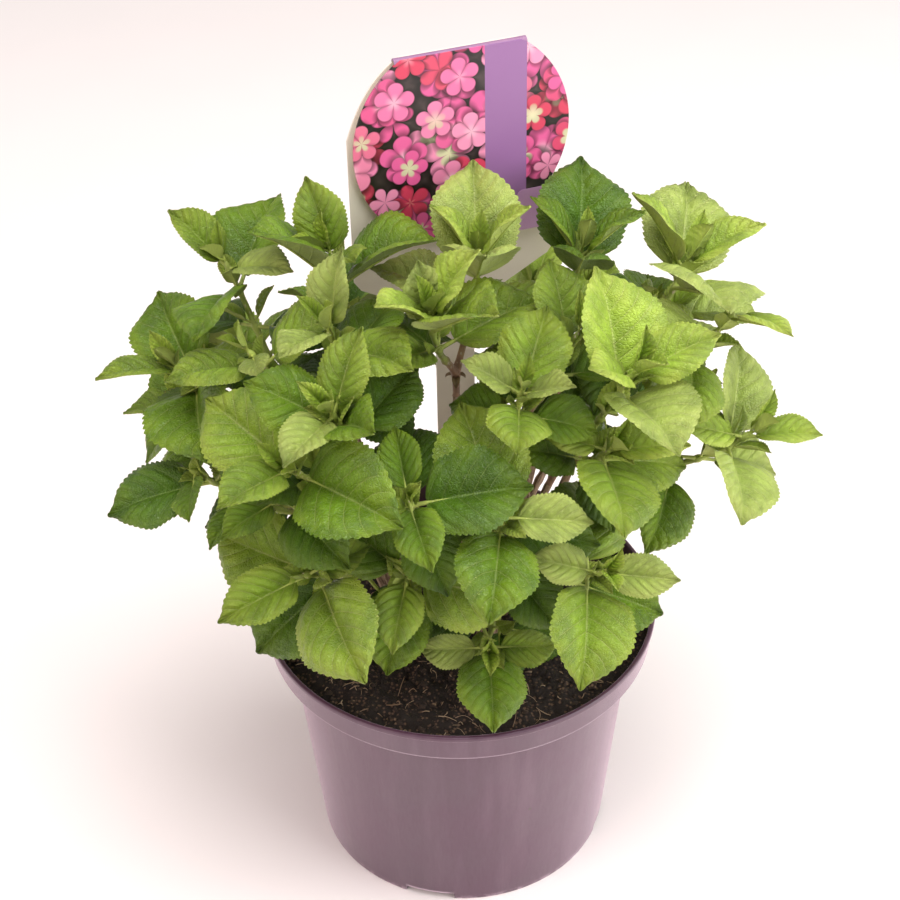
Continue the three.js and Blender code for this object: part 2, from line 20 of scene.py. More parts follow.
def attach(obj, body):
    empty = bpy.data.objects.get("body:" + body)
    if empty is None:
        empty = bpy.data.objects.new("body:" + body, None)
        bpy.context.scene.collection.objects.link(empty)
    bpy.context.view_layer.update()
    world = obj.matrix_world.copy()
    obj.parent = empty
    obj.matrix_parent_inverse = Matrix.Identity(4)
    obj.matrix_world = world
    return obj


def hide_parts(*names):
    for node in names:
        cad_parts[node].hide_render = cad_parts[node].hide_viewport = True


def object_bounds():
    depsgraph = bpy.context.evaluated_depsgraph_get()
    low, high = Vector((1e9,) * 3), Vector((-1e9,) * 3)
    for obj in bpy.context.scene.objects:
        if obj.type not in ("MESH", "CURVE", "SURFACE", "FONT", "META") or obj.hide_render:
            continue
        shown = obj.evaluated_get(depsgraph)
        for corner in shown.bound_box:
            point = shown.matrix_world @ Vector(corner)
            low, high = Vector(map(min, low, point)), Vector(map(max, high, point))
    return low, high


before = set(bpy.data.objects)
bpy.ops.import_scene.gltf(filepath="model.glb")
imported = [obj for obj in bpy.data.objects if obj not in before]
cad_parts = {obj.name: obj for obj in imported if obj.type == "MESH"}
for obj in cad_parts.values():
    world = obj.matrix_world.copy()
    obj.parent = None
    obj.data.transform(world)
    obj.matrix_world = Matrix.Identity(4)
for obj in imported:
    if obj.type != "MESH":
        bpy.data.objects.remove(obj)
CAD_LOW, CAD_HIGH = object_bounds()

LOG = logging.getLogger("hydrangea")
MM = 0.001
BODY = "root"
VEIN_PAIRS = 7.0
LOW_BITS = 0xFFFFFFFF
FACTORS = (0x9E3779B1, 0x85EBCA77, 0xC2B2AE3D, 0x27D4EB2F)

Array = np.ndarray
Colour = tuple[float, float, float]
Inputs = dict[int | str, object]


# ---- numbers

def unit(vectors: Array) -> Array:
    """Vectors scaled to length 1 along the last axis."""
    return vectors / np.linalg.norm(vectors, axis=-1, keepdims=True)


def smooth(low: float, high: float, x: Array) -> Array:
    """The smooth rise 3s^2 - 2s^3 from 0 at low to 1 at high, s being the share of the way."""
    share = np.clip((np.asarray(x, float) - low) / (high - low), 0.0, 1.0)
    return share * share * (3.0 - 2.0 * share)


def hump(x: Array, middle: Array | float, width: float) -> Array:
    """The bell e^-((x - middle) / width)^2."""
    return np.exp(-((x - middle) / width) ** 2)


def bent(a: Array, b: Array, c: Array, t: Array) -> Array:
    """The curve (1-t)^2 a + 2t(1-t) b + t^2 c, from a by b to c."""
    return (1 - t) ** 2 * a + 2 * t * (1 - t) * b + t ** 2 * c


def round_turns(count: int) -> Array:
    """Even turns round a circle, in radians."""
    return np.linspace(0, 2 * np.pi, count, endpoint=False)


def polar(azimuth: float, reach: float, height: float = 0.0) -> Array:
    """The point at an azimuth in radians, a distance from the upright axis and a height."""
    return np.array([reach * math.cos(azimuth), reach * math.sin(azimuth), height])


def folded(h: Array | int, whole: type = int) -> Array | int:
    """32 mixed bits of each whole number, by multiplying and folding.

    Args:
        h: the whole numbers.
        whole: their type.

    Returns:
        The mixed numbers, of the same type.
    """
    for shift, factor in ((15, 0x2C1B3C6D), (12, 0x297A2D39)):
        h = (h ^ (h >> whole(shift))) * whole(factor) & whole(LOW_BITS)
    return h ^ (h >> whole(15))


def hashed(*whole: Array) -> Array:
    """Seeded noise from 0 to 1 for each set of up to four whole numbers.

    Args:
        whole: arrays of whole numbers that broadcast together.

    Returns:
        An array of their common shape.
    """
    h = np.zeros(np.broadcast(*whole).shape, np.uint64)
    for part, factor in zip(whole, FACTORS):
        h = h ^ ((np.asarray(part) + 4096).astype(np.uint64) * np.uint64(factor) & np.uint64(LOW_BITS))
    return folded(h, np.uint64).astype(float) / LOW_BITS


def clouds(x: Array, y: Array, seed: Array | int) -> Array:
    """Noise from -1 to 1 over a plane: hashed values at whole places, blended smoothly between.

    Args:
        x: places across.
        y: places along.
        seed: whole numbers that pick the pattern.

    Returns:
        The noise at each place.
    """
    column, row = np.floor(x), np.floor(y)
    across, along = smooth(0, 1, x - column), smooth(0, 1, y - row)
    column, row = column.astype(int), row.astype(int)
    low = hashed(column, row, seed) * (1 - across) + hashed(column + 1, row, seed) * across
    high = hashed(column, row + 1, seed) * (1 - across) + hashed(column + 1, row + 1, seed) * across
    return 2.0 * (low * (1 - along) + high * along) - 1.0


# ---- surfaces

@dataclass
class Surface:
    """Points in millimetres, arrays of faces with a finish number each, and each point's map place."""

    points: Array
    faces: list[Array]
    kinds: list[int]
    places: Array

    @classmethod
    def of(cls, points: Array, faces: list[Array], places: Array | None = None,
           kinds: Sequence[int] = ()) -> "Surface":
        """A surface of any array of points.

        Args:
            points: its points, in an array of any shape.
            faces: arrays of point numbers, one row for each face.
            places: the map place of each point, or None.
            kinds: the finish number of each array of faces, or nothing where all are 0.

        Returns:
            The surface.
        """
        points = points.reshape(-1, 3)
        places = np.zeros((len(points), 2)) if places is None else places.reshape(-1, 2)
        return cls(points, faces, list(kinds) or [0] * len(faces), places)

    @classmethod
    def copies(cls, points: Array, faces: list[Array], places: Array | None = None,
               kinds: Sequence[int] = ()) -> "Surface":
        """Many surfaces of one layout.

        Args:
            points: the points of each.
            faces: the faces of the first.
            places: the map place of each point of one, or None.
            kinds: as in `of`.

        Returns:
            The joined surfaces.
        """
        count = len(points)
        shift = (np.arange(count) * (points.size // count // 3))[:, None, None]
        faces = [(f + shift).reshape(-1, f.shape[1]) for f in faces]
        return cls.of(points, faces, None if places is None else np.tile(places, (count, 1)), kinds)

    @classmethod
    def joined(cls, parts: Sequence["Surface"]) -> "Surface":
        """Several surfaces as one, each keeping its own points.

        Args:
            parts: the surfaces.

        Returns:
            The joined surface.
        """
        starts = np.cumsum([0] + [len(p.points) for p in parts])
        return cls(
            np.concatenate([p.points for p in parts]),
            [f + start for p, start in zip(parts, starts) for f in p.faces],
            [kind for p in parts for kind in p.kinds],
            np.concatenate([p.places for p in parts]),
        )

    def welded(self) -> "Surface":
        """This surface with points at one place made one, and faces that lost corners mended.

        Returns:
            The mended surface.
        """
        keys = np.round(self.points * 1000).astype(np.int64)
        _, first, number = np.unique(keys, axis=0, return_index=True, return_inverse=True)
        faces, kinds = [], []
        for old, kind in zip(self.faces, self.kinds):
            new = number.reshape(-1)[old]
            repeated = new == np.roll(new, -1, axis=1)
            lost = repeated.sum(1)
            whole, pinched = new[lost == 0], new[lost == 1]
            faces.append(whole)
            kinds.append(kind)
            if old.shape[1] == 4 and len(pinched):
                faces.append(pinched[~repeated[lost == 1]].reshape(-1, 3))
                kinds.append(kind)
        return Surface(self.points[first], faces, kinds, self.places[first])


def grid_faces(rows: int, columns: int, wrap_rows: bool = False, wrap_columns: bool = False) -> Array:
    """Four-sided faces of a grid of points, seen with rows up and columns to the right.

    Args:
        rows: rows of points.
        columns: points in a row.
        wrap_rows: whether the last row joins the first.
        wrap_columns: whether the last column joins the first.

    Returns:
        Faces as rows of four point numbers.
    """
    row = np.arange(rows if wrap_rows else rows - 1)[:, None]
    column = np.arange(columns if wrap_columns else columns - 1)[None, :]
    above, right = (row + 1) % rows, (column + 1) % columns
    corners = [(row, column), (row, right), (above, right), (above, column)]
    return np.stack(np.broadcast_arrays(*(r * columns + c for r, c in corners)), -1).reshape(-1, 4)


def tube(centres: Array, radii: Array, sides: int, relief: Array | float = 0.0) -> Surface:
    """A round limb: at each centre c stands the ring c + (r + relief)(F cos a + (T x F) sin a).

    T is the curve's tangent and F is square to T and to the plane that the curve bends in.

    Args:
        centres: points along the curve.
        radii: the radius at each centre.
        sides: corners of a ring.
        relief: height over the radius at each centre and corner.

    Returns:
        The closed limb. Its map runs round from 0 to 1, and along in metres.
    """
    tangents = unit(np.gradient(centres, axis=0))
    middle = centres[len(centres) // 2]
    square = np.cross(middle - centres[0], centres[-1] - middle)
    if np.linalg.norm(square) < 1e-6:
        square = np.cross(centres[-1] - centres[0], [0.31, 1.0, 0.17])
    first = unit(square - tangents * (tangents @ square)[:, None])
    second = np.cross(tangents, first)
    angle = round_turns(sides)
    ways = np.cos(angle)[:, None] * first[:, None] + np.sin(angle)[:, None] * second[:, None]
    points = centres[:, None] + (radii[:, None] + relief)[..., None] * ways
    length = np.concatenate([[0], np.cumsum(np.linalg.norm(np.diff(centres, axis=0), axis=1))])
    places = np.stack(np.broadcast_arrays(angle / (2 * np.pi), length[:, None] * MM), -1)
    rows, ring = len(centres), np.arange(sides)
    ends = [ring[::-1][None], (rows - 1) * sides + ring[None]]
    return Surface.of(points, [grid_faces(rows, sides, wrap_columns=True), *ends], places)


def turned(profile: Array, angles: Array) -> Surface:
    """A turned shell: each profile point (r, z) goes to (r cos a, r sin a, z) at each angle a.

    Args:
        profile: points (r, z) that run up the outside, or one row of them for each angle.
        angles: the turns of the rings, in radians.

    Returns:
        The shell, open where the profile is.
    """
    profile = np.broadcast_to(profile, (len(angles), *profile.shape[-2:]))
    r, z = profile[..., 0], profile[..., 1]
    points = np.stack([r * np.cos(angles)[:, None], r * np.sin(angles)[:, None], z], -1)
    return Surface.of(points, [grid_faces(*r.shape, wrap_rows=True)[:, ::-1]])


def rounded(corners: Sequence[tuple[float, float, float]], steps: int = 4) -> Array:
    """An open line whose corners P are rounded by the bent curve from A by P to B.

    Args:
        corners: (x, y, radius) of each corner, where A and B lie that radius along the two sides.
        steps: points on each rounded corner.

    Returns:
        The line's points.
    """
    line = [np.array(corners[0][:2], float)[None]]
    t = np.linspace(0, 1, steps)[:, None]
    for before, (x, y, radius), after in zip(corners, corners[1:], corners[2:]):
        corner = np.array([x, y], float)
        if radius == 0:
            line.append(corner[None])
            continue
        a = corner + radius * unit(np.array(before[:2]) - corner)
        b = corner + radius * unit(np.array(after[:2]) - corner)
        line.append(bent(a, corner, b, t))
    line.append(np.array(corners[-1][:2], float)[None])
    return np.concatenate(line)


def slab(front: Array, back: Array, places: Array, kinds: tuple[int, int]) -> Surface:
    """A thin sheet between two grids of points, closed round its four edges.

    Args:
        front: the front's points, rows running up and columns to the right.
        back: the same of the back.
        places: the map place of each point of a grid.
        kinds: finish numbers of the front with the edges, and of the back.

    Returns:
        The closed sheet.
    """
    rows, columns = front.shape[:2]
    number = np.arange(rows * columns).reshape(rows, columns)
    loop = np.concatenate([number[0], number[1:, -1], number[-1, -2::-1], number[-2:0:-1, 0]])
    following, shift = np.roll(loop, -1), rows * columns
    edge = np.stack([loop + shift, following + shift, following, loop], -1)
    faces = grid_faces(rows, columns)
    return Surface.of(np.stack([front, back]), [faces, edge, faces[:, ::-1] + shift],
                      np.stack([places, places]), (kinds[0], kinds[0], kinds[1]))


def sharpen_borders(mesh: Mesh, kinds: Array) -> None:
    """Makes light break at edges where two finishes meet, such as a leaf's rim.

    Args:
        mesh: the mesh, whose edges are known.
        kinds: the finish number at each corner of its faces.
    """
    edges = np.empty(len(mesh.loops), np.int32)
    mesh.loops.foreach_get("edge_index", edges)
    least, most = np.full(len(mesh.edges), 99), np.zeros(len(mesh.edges), int)
    np.minimum.at(least, edges, kinds)
    np.maximum.at(most, edges, kinds)
    mesh.edges.foreach_set("use_edge_sharp", least != most)


def placed(name: str, data: ID) -> Object:
    """A new object of the scene, at the origin.

    Args:
        name: its name.
        data: its mesh, lamp or camera.

    Returns:
        The object.
    """
    item = bpy.data.objects.new(name, data)
    bpy.context.scene.collection.objects.link(item)
    return item


def add_piece(name: str, surface: Surface, finishes: Sequence[Material],
              nodes: Sequence[str], is_smooth: bool = True) -> None:
    """Makes the object of a surface, dresses it and lets it ride on its body.

    Args:
        name: the piece's name.
        surface: its shape.
        finishes: its materials, in the order of the finish numbers.
        nodes: the solids that the piece stands for.
        is_smooth: whether light runs smoothly over its faces.
    """
    mesh = bpy.data.meshes.new(name)
    sizes = np.concatenate([np.full(len(f), f.shape[1]) for f in surface.faces])
    corners = np.concatenate([f.ravel() for f in surface.faces])
    kinds = np.concatenate([np.full(len(f), kind) for f, kind in zip(surface.faces, surface.kinds)])
    mesh.vertices.add(len(surface.points))
    mesh.vertices.foreach_set("co", (surface.points * MM).astype(np.float32).ravel())
    mesh.loops.add(len(corners))
    mesh.loops.foreach_set("vertex_index", corners.astype(np.int32))
    mesh.polygons.add(len(sizes))
    mesh.polygons.foreach_set("loop_start", np.cumsum(np.append(0, sizes[:-1])).astype(np.int32))
    for finish in finishes:
        mesh.materials.append(finish)
    mesh.polygons.foreach_set("material_index", kinds.astype(np.int32))
    mesh.polygons.foreach_set("use_smooth", np.full(len(sizes), is_smooth))
    layer = mesh.uv_layers.new(name="place")
    layer.uv.foreach_set("vector", surface.places[corners].astype(np.float32).ravel())
    mesh.update(calc_edges=True)
    mesh.validate()
    sharpen_borders(mesh, np.repeat(kinds, sizes))
    piece = placed(name, mesh)
    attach(piece, BODY)
    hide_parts(*nodes)
    LOG.info("%s: %d triangles for %s", name, (sizes - 2).sum(), ", ".join(nodes))


# ---- wiring of finishes

class Wiring:
    """A node tree: each call adds a node and gives the socket that carries its result."""

    def __init__(self, tree: NodeTree) -> None:
        """Works in the given tree."""
        self.tree = tree

    def add(self, kind: str, values: Inputs, **settings: object) -> Node:
        """A new shader node, set and fed.

        Args:
            kind: its kind.
            values: as in `feed`.
            settings: its other settings.

        Returns:
            The node.
        """
        node = self.tree.nodes.new("ShaderNode" + kind)
        for name, setting in settings.items():
            setattr(node, name, setting)
        self.feed(node, values)
        return node

    def feed(self, node: Node, values: Inputs) -> None:
        """Links results to a node's inputs, or sets inputs to plain values.

        Args:
            node: the node.
            values: a result, number or colour for the number or name of each input.
        """
        for key, value in values.items():
            socket = node.inputs[key]
            if isinstance(value, Socket):
                self.tree.links.new(value, socket)
            else:
                socket.default_value = (*value, 1.0) if socket.type == "RGBA" else value

    def math(self, operation: str, *values: object) -> Socket:
        """One step of arithmetic on up to three values."""
        return self.add("Math", dict(enumerate(values)), operation=operation).outputs[0]

    def times(self, first: object, second: object) -> Socket:
        """The product of two values."""
        return self.math("MULTIPLY", first, second)

    def scaled(self, value: object, factor: object, start: object) -> Socket:
        """A value times a factor, counted from a start."""
        return self.math("MULTIPLY_ADD", value, factor, start)

    def rise(self, value: object, low: object, high: object, start: float = 0.0, end: float = 1.0,
             ) -> Socket:
        """A value carried smoothly from low..high to start..end, and held at its ends."""
        values = dict(enumerate((value, low, high, start, end)))
        return self.add("MapRange", values, interpolation_type="SMOOTHSTEP").outputs[0]

    def mix(self, share: object, first: object, second: object) -> Socket:
        """Two colours mixed by a share of the second."""
        return self.add("Mix", {0: share, 6: first, 7: second}, data_type="RGBA").outputs[2]

    def vector(self, operation: str, first: object, second: object) -> Socket:
        """One step of arithmetic on two places or colours."""
        return self.add("VectorMath", {0: first, 1: second}, operation=operation).outputs[0]

    def shaded(self, colour: object, brightness: object) -> Socket:
        """A colour times a brightness."""
        return self.add("VectorMath", {0: colour, "Scale": brightness}, operation="SCALE").outputs[0]

    def noise(self, place: object, scale: object, detail: float = 3.0, roughness: float = 0.5) -> Socket:
        """Cloudy noise from 0 to 1."""
        values = {"Vector": place, "Scale": scale, "Detail": detail, "Roughness": roughness}
        return self.add("TexNoise", values).outputs[0]

    def cells(self, place: object, scale: object, feature: str = "F1") -> Node:
        """A node of irregular cells."""
        return self.add("TexVoronoi", {"Vector": place, "Scale": scale}, feature=feature)

    def axes(self, place: object) -> list[Socket]:
        """The three numbers of a place."""
        return list(self.add("SeparateXYZ", {0: place}).outputs)

    def use(self, group: NodeTree, **values: object) -> dict[str, Socket]:
        """A shared effect with its own values, as its results by name."""
        return {socket.name: socket for socket in self.add("Group", values, node_tree=group).outputs}

    def bump(self, height: object, distance: float) -> Socket:
        """The normal of a surface raised by a height from 0 to 1 over a distance in metres."""
        return self.add("Bump", {"Distance": distance, "Height": height}).outputs[0]


class Dressing(Wiring):
    """A new material with its places, its patches and grain and its Principled shader at hand."""

    def __init__(self, name: str, broad: float, fine: float) -> None:
        """Makes the material.

        Args:
            name: its name.
            broad: how many patches lie in a metre.
            fine: how many grains lie in a metre.
        """
        self.material = bpy.data.materials.new(name)
        self.material.use_nodes = True
        super().__init__(self.material.node_tree)
        self.shader = self.tree.nodes["Principled BSDF"]
        coordinates = self.add("TexCoord", {})
        self.place, self.map = coordinates.outputs["Object"], coordinates.outputs["UV"]
        effect = self.use(mottle(), Place=self.place, Broad=broad, Fine=fine)
        self.patches, self.grain = effect["Patches"], effect["Grain"]

    def finish(self, colour: object, roughness: object, normal: object, **constant: object) -> Material:
        """Feeds the shader.

        Args:
            colour: the base colour.
            roughness: how dull it is, from 0 to 1.
            normal: the normal of its relief.
            constant: inputs that are the same all over, with _ for a space.

        Returns:
            The finished material.
        """
        self.feed(self.shader, {"Base Color": colour, "Roughness": roughness, "Normal": normal})
        self.feed(self.shader, {name.replace("_", " "): value for name, value in constant.items()})
        return self.material


class Effect(Wiring):
    """A node group that several finishes use: it reads a place and some numbers."""

    def __init__(self, name: str, numbers: dict[str, float], results: Sequence[str]) -> None:
        """Makes the group with its inputs and outputs.

        Args:
            name: its name.
            numbers: its number inputs and their first values.
            results: its outputs.
        """
        super().__init__(bpy.data.node_groups.new(name, "ShaderNodeTree"))
        face = self.tree.interface
        face.new_socket("Place", in_out="INPUT", socket_type="NodeSocketVector")
        for title, value in numbers.items():
            face.new_socket(title, in_out="INPUT", socket_type="NodeSocketFloat").default_value = value
        for title in results:
            face.new_socket(title, in_out="OUTPUT", socket_type="NodeSocketFloat")
        self.given = {socket.name: socket for socket in self.tree.nodes.new("NodeGroupInput").outputs}

    def give(self, **results: Socket) -> NodeTree:
        """Puts its results out, and gives the finished group."""
        self.feed(self.tree.nodes.new("NodeGroupOutput"), results)
        return self.tree


@cache
def mottle() -> NodeTree:
    """The effect of broad patches and fine grain.

    Returns:
        Its group, made once.
    """
    e = Effect("mottle", {"Broad": 40.0, "Fine": 900.0}, ["Patches", "Grain"])
    place, broad, fine = (e.given[name] for name in ("Place", "Broad", "Fine"))
    return e.give(Patches=e.noise(place, broad, 4.0, 0.55), Grain=e.noise(place, fine, 2.0))


@cache
def leaf_veins() -> NodeTree:
    """The effect of leaf veins on a map that runs across from 0 to 1 and along from base to tip.

    The midrib is where the distance s from the middle is 0, and side veins are where
    (along - 0.36 s (4 along (1 - along))^0.6) times their number of pairs is whole.

    Returns:
        Its group, made once.
    """
    e = Effect("leaf veins", {"Pairs": VEIN_PAIRS}, ["Midrib", "Side", "Swell", "Net", "Rim"])
    across, along, _ = e.axes(e.given["Place"])
    s = e.math("ABSOLUTE", e.scaled(across, 2.0, -1.0))
    middle = e.times(along, e.math("SUBTRACT", 4.0, e.times(along, 4.0)))
    sweep = e.times(e.times(s, 0.36), e.math("POWER", middle, 0.6))
    turn = e.scaled(e.math("SUBTRACT", along, sweep), e.given["Pairs"], 0.5)
    near = e.math("ABSOLUTE", e.math("SUBTRACT", e.math("FRACT", turn), 0.5))
    inner = e.times(e.rise(s, 0.02, 0.2), e.rise(s, 0.75, 1.0, 1.0, 0.2))
    width, fading = e.scaled(along, -0.026, 0.042), e.scaled(along, -0.6, 1.0)
    net = e.cells(e.vector("MULTIPLY", e.given["Place"], (27.0, 40.0, 1.0)), 1.0, "DISTANCE_TO_EDGE")
    outer = e.math("MAXIMUM", e.times(s, 0.9), along)
    return e.give(
        Swell=e.times(e.rise(near, 0.02, 0.36), inner),
        Side=e.times(e.rise(near, 0.0, 0.07, 1.0, 0.0), e.rise(s, 0.55, 1.0, 1.0, 0.15)),
        Midrib=e.times(e.rise(s, 0.0, width, 1.0, 0.0), fading),
        Net=e.rise(net.outputs["Distance"], 0.0, 0.2, 1.0, 0.0),
        Rim=e.rise(outer, 0.35, 0.95, 0.0, 0.8),
    )


# ---- finishes

class LeafAgeAndLight(Enum):
    """Ages of leaf, from the foot of a shoot to its tip, moved on by painted light: lit leaves take paler
    colours.
    """

    OLD = "old"
    SHADE = "shade"
    PRIME = "prime"
    FRESH = "fresh"
    YOUNG = "young"
    BUD = "bud"


@dataclass(frozen=True)
class LeafFinish:
    """Plain colours of one step of leaf age and painted light, and its shine."""

    age: LeafAgeAndLight
    upper: Colour
    margin: Colour
    under: Colour
    vein: Colour
    roughness: float

    def dress_upper(self) -> Material:
        """The upper side: quilted between its veins, with painted light on the swells and painted shade in
        the furrows at the veins, and a waxy shine.

        Returns:
            The material.
        """
        d = Dressing(f"leaf_{self.age.value}_upper", 60.0, 1600.0)
        veins = d.use(leaf_veins(), Place=d.map)
        # Painted light and shade: the swells between side veins are painted lighter and the furrows at the
        # veins darker; the patches vary the tone at random.
        tone_and_painted_light = d.scaled(veins["Swell"], 0.11, d.rise(d.patches, 0.3, 0.72, 0.75, 1.48))
        toned = d.shaded(self.upper, tone_and_painted_light)
        aged = d.mix(d.times(veins["Rim"], d.rise(d.patches, 0.35, 0.6)), toned, self.margin)
        netted = d.mix(d.times(veins["Net"], 0.13), aged, self.vein)
        sided = d.mix(d.times(veins["Side"], 0.46), netted, self.vein)
        ribbed = d.mix(d.times(veins["Midrib"], 0.7), sided, self.vein)
        dips = d.scaled(veins["Net"], 0.4, d.times(veins["Side"], 0.5))
        swell = d.times(veins["Swell"], d.rise(d.patches, 0.35, 0.7, 0.2, 1.5))
        bulge = d.scaled(d.grain, 0.3, swell)
        height = d.math("SUBTRACT", bulge, dips)
        dull = d.rise(d.patches, 0.3, 0.75, self.roughness, self.roughness + 0.16)
        return d.finish(ribbed, dull, d.bump(height, 0.0007), IOR=1.42)

    def dress_under(self) -> Material:
        """The underside: pale and dull, with raised veins.

        Returns:
            The material.
        """
        d = Dressing(f"leaf_{self.age.value}_underside", 70.0, 1600.0)
        veins = d.use(leaf_veins(), Place=d.map)
        toned = d.shaded(self.under, d.rise(d.patches, 0.3, 0.72, 0.84, 1.14))
        netted = d.mix(d.times(veins["Net"], 0.28), toned, self.vein)
        sided = d.mix(d.times(veins["Side"], 0.5), netted, self.vein)
        height = d.scaled(veins["Net"], 0.5, veins["Side"])
        dull = d.rise(d.grain, 0.25, 0.75, 0.56, 0.7)
        relief = d.bump(height, 0.0003)
        return d.finish(sided, dull, relief, IOR=1.4, Sheen_Weight=0.12, Sheen_Roughness=0.5)


@dataclass(frozen=True)
class StemFinish:
    """Skin of shoots and leaf stalks: wood below, green above, specked with pale pores."""

    name: str
    wood: Colour
    green: Colour
    speck: Colour
    green_from: float
    green_at: float

    def dress(self) -> Material:
        """The skin, which turns green along the map's length.

        Returns:
            The material.
        """
        d = Dressing(self.name, 120.0, 1500.0)
        _, along, _ = d.axes(d.map)
        edge = d.scaled(d.patches, 0.03, along)
        greened = d.mix(d.rise(edge, self.green_from + 0.015, self.green_at + 0.015), self.wood, self.green)
        toned = d.shaded(greened, d.rise(d.patches, 0.3, 0.7, 0.72, 1.25))
        pores = d.cells(d.vector("MULTIPLY", d.place, (1.0, 1.0, 0.45)), 420.0)
        speck = d.rise(pores.outputs["Distance"], 0.12, 0.3, 0.75, 0.0)
        height = d.scaled(speck, 0.8, d.grain)
        dull = d.rise(d.grain, 0.2, 0.8, 0.42, 0.66)
        return d.finish(d.mix(speck, toned, self.speck), dull, d.bump(height, 0.00025))


@dataclass(frozen=True)
class BarkFinish:
    """Bark of the canes: tan and brown, split lengthwise, with pale raised pores."""

    light: Colour = (0.5, 0.34, 0.23)
    dark: Colour = (0.2, 0.115, 0.07)
    pore: Colour = (0.62, 0.48, 0.36)

    def dress(self) -> Material:
        """The bark, with its splits along the cane.

        Returns:
            The material.
        """
        d = Dressing("cane_bark", 90.0, 1300.0)
        strips = d.noise(d.vector("MULTIPLY", d.map, (9.0, 55.0, 1.0)), 1.0, 4.0, 0.6)
        split = d.rise(strips, 0.4, 0.52, 1.0, 0.0)
        shade = d.scaled(d.patches, 0.7, d.times(split, 0.45))
        barked = d.mix(d.rise(shade, 0.3, 0.85), self.light, self.dark)
        pores = d.cells(d.vector("MULTIPLY", d.place, (1.0, 1.0, 0.6)), 330.0)
        speck = d.rise(pores.outputs["Distance"], 0.1, 0.26, 0.7, 0.0)
        toned = d.mix(speck, barked, self.pore)
        height = d.scaled(speck, 0.7, d.scaled(split, -0.9, d.grain))
        return d.finish(toned, d.rise(d.grain, 0.2, 0.8, 0.62, 0.88), d.bump(height, 0.0005))


@dataclass(frozen=True)
class PotFinish:
    """Dusty mauve plastic, scuffed, paler where edges are rubbed, with soil splashed at the rim."""

    colour: Colour = (0.056, 0.011, 0.036)
    rubbed: Colour = (0.5, 0.36, 0.44)
    dust: Colour = (0.32, 0.2, 0.26)
    soil: Colour = (0.05, 0.03, 0.02)
    collar_height: float = 0.1455
    foot_height: float = 0.004

    def dress(self) -> Material:
        """The plastic, with rubbed lines at the heights of its edges.

        Returns:
            The material.
        """
        d = Dressing("pot_plastic", 22.0, 2200.0)
        x, y, z = d.axes(d.place)
        streaks = d.noise(d.vector("MULTIPLY", d.place, (60.0, 60.0, 5.0)), 1.0, 3.0)
        toned = d.shaded(self.colour, d.rise(d.patches, 0.25, 0.75, 0.9, 1.1))
        veiled = d.mix(d.rise(streaks, 0.45, 0.8, 0.0, 0.12), toned, self.dust)
        broken = d.rise(d.noise(d.place, 150.0, 4.0, 0.6), 0.46, 0.62)
        specks = d.cells(d.place, 75.0)
        chance, _, _ = d.axes(specks.outputs["Color"])
        spot = d.times(d.rise(specks.outputs["Distance"], 0.06, 0.1, 1.0, 0.0), d.rise(chance, 0.86, 0.88))
        colour = d.mix(spot, veiled, self.soil)
        for height, reach, share in ((self.collar_height, 0.0016, 0.08), (0.0, self.foot_height, 0.6)):
            off = d.math("ABSOLUTE", d.math("SUBTRACT", z, height))
            line = d.times(d.rise(off, 0.0, reach, share, 0.0), broken)
            colour = d.mix(line, colour, self.rubbed)
        # Soil splashed on the wall inside, over the collar's step and thinning towards the lip.
        radius = d.math("SQRT", d.math("ADD", d.math("POWER", x, 2.0), d.math("POWER", y, 2.0)))
        inside = d.times(d.rise(radius, 0.1122, 0.1128, 1.0, 0.0), d.rise(z, 0.1455, 0.1475))
        inside = d.times(inside, d.rise(z, 0.152, 0.163, 1.0, 0.1))
        splash = d.times(inside, d.rise(d.noise(d.place, 210.0, 4.0), 0.42, 0.6))
        colour = d.mix(splash, colour, self.soil)
        scuff = d.noise(d.vector("MULTIPLY", d.place, (900.0, 900.0, 120.0)), 1.0, 2.0)
        dull = d.scaled(scuff, 0.2, d.rise(d.patches, 0.3, 0.7, 0.4, 0.5))
        return d.finish(colour, dull, d.bump(d.grain, 0.00012), IOR=1.5,
                        Coat_Weight=0.7, Coat_Roughness=0.24,
                        Sheen_Weight=0.93, Sheen_Roughness=0.33, Sheen_Tint=(1.0, 0.77, 0.9))


@dataclass(frozen=True)
class PeatFinish:
    """Dark damp peat with paler crumbs."""

    dark: Colour = (0.019, 0.012, 0.009)
    light: Colour = (0.135, 0.08, 0.052)
    name: str = "peat"

    def dress(self) -> Material:
        """The peat, crumbly all through.

        Returns:
            The material.
        """
        d = Dressing(self.name, 160.0, 900.0)
        crumbs = d.cells(d.place, 380.0)
        pale = d.times(d.rise(crumbs.outputs["Distance"], 0.1, 0.6, 1.0, 0.0), d.patches)
        colour = d.mix(d.rise(pale, 0.15, 0.55), self.dark, self.light)
        height = d.math("ADD", crumbs.outputs["Distance"], d.grain)
        return d.finish(colour, d.rise(d.patches, 0.3, 0.7, 0.8, 0.96), d.bump(height, 0.0009))


@dataclass(frozen=True)
class CardFinish:
    """Coated card of the label's back panel and stake: cream, darker towards the bottom and in faint
    patches.
    """

    colour: Colour = (0.86, 0.77, 0.66)
    darker_tint: Colour = (0.55, 0.43, 0.33)

    def dress(self) -> Material:
        """The card.

        Returns:
            The material.
        """
        d = Dressing("label_card", 45.0, 2500.0)
        _, _, z = d.axes(d.place)
        # Darker towards the bottom, from 0.3 m down to 0.16 m, and in faint patches.
        low = d.times(d.rise(z, 0.16, 0.3, 0.55, 0.0), d.patches)
        colour = d.mix(d.math("ADD", low, d.rise(d.patches, 0.55, 0.8, 0.0, 0.12)), self.colour, self.darker_tint)
        return d.finish(colour, d.rise(d.patches, 0.3, 0.7, 0.4, 0.55), d.bump(d.grain, 0.00004))


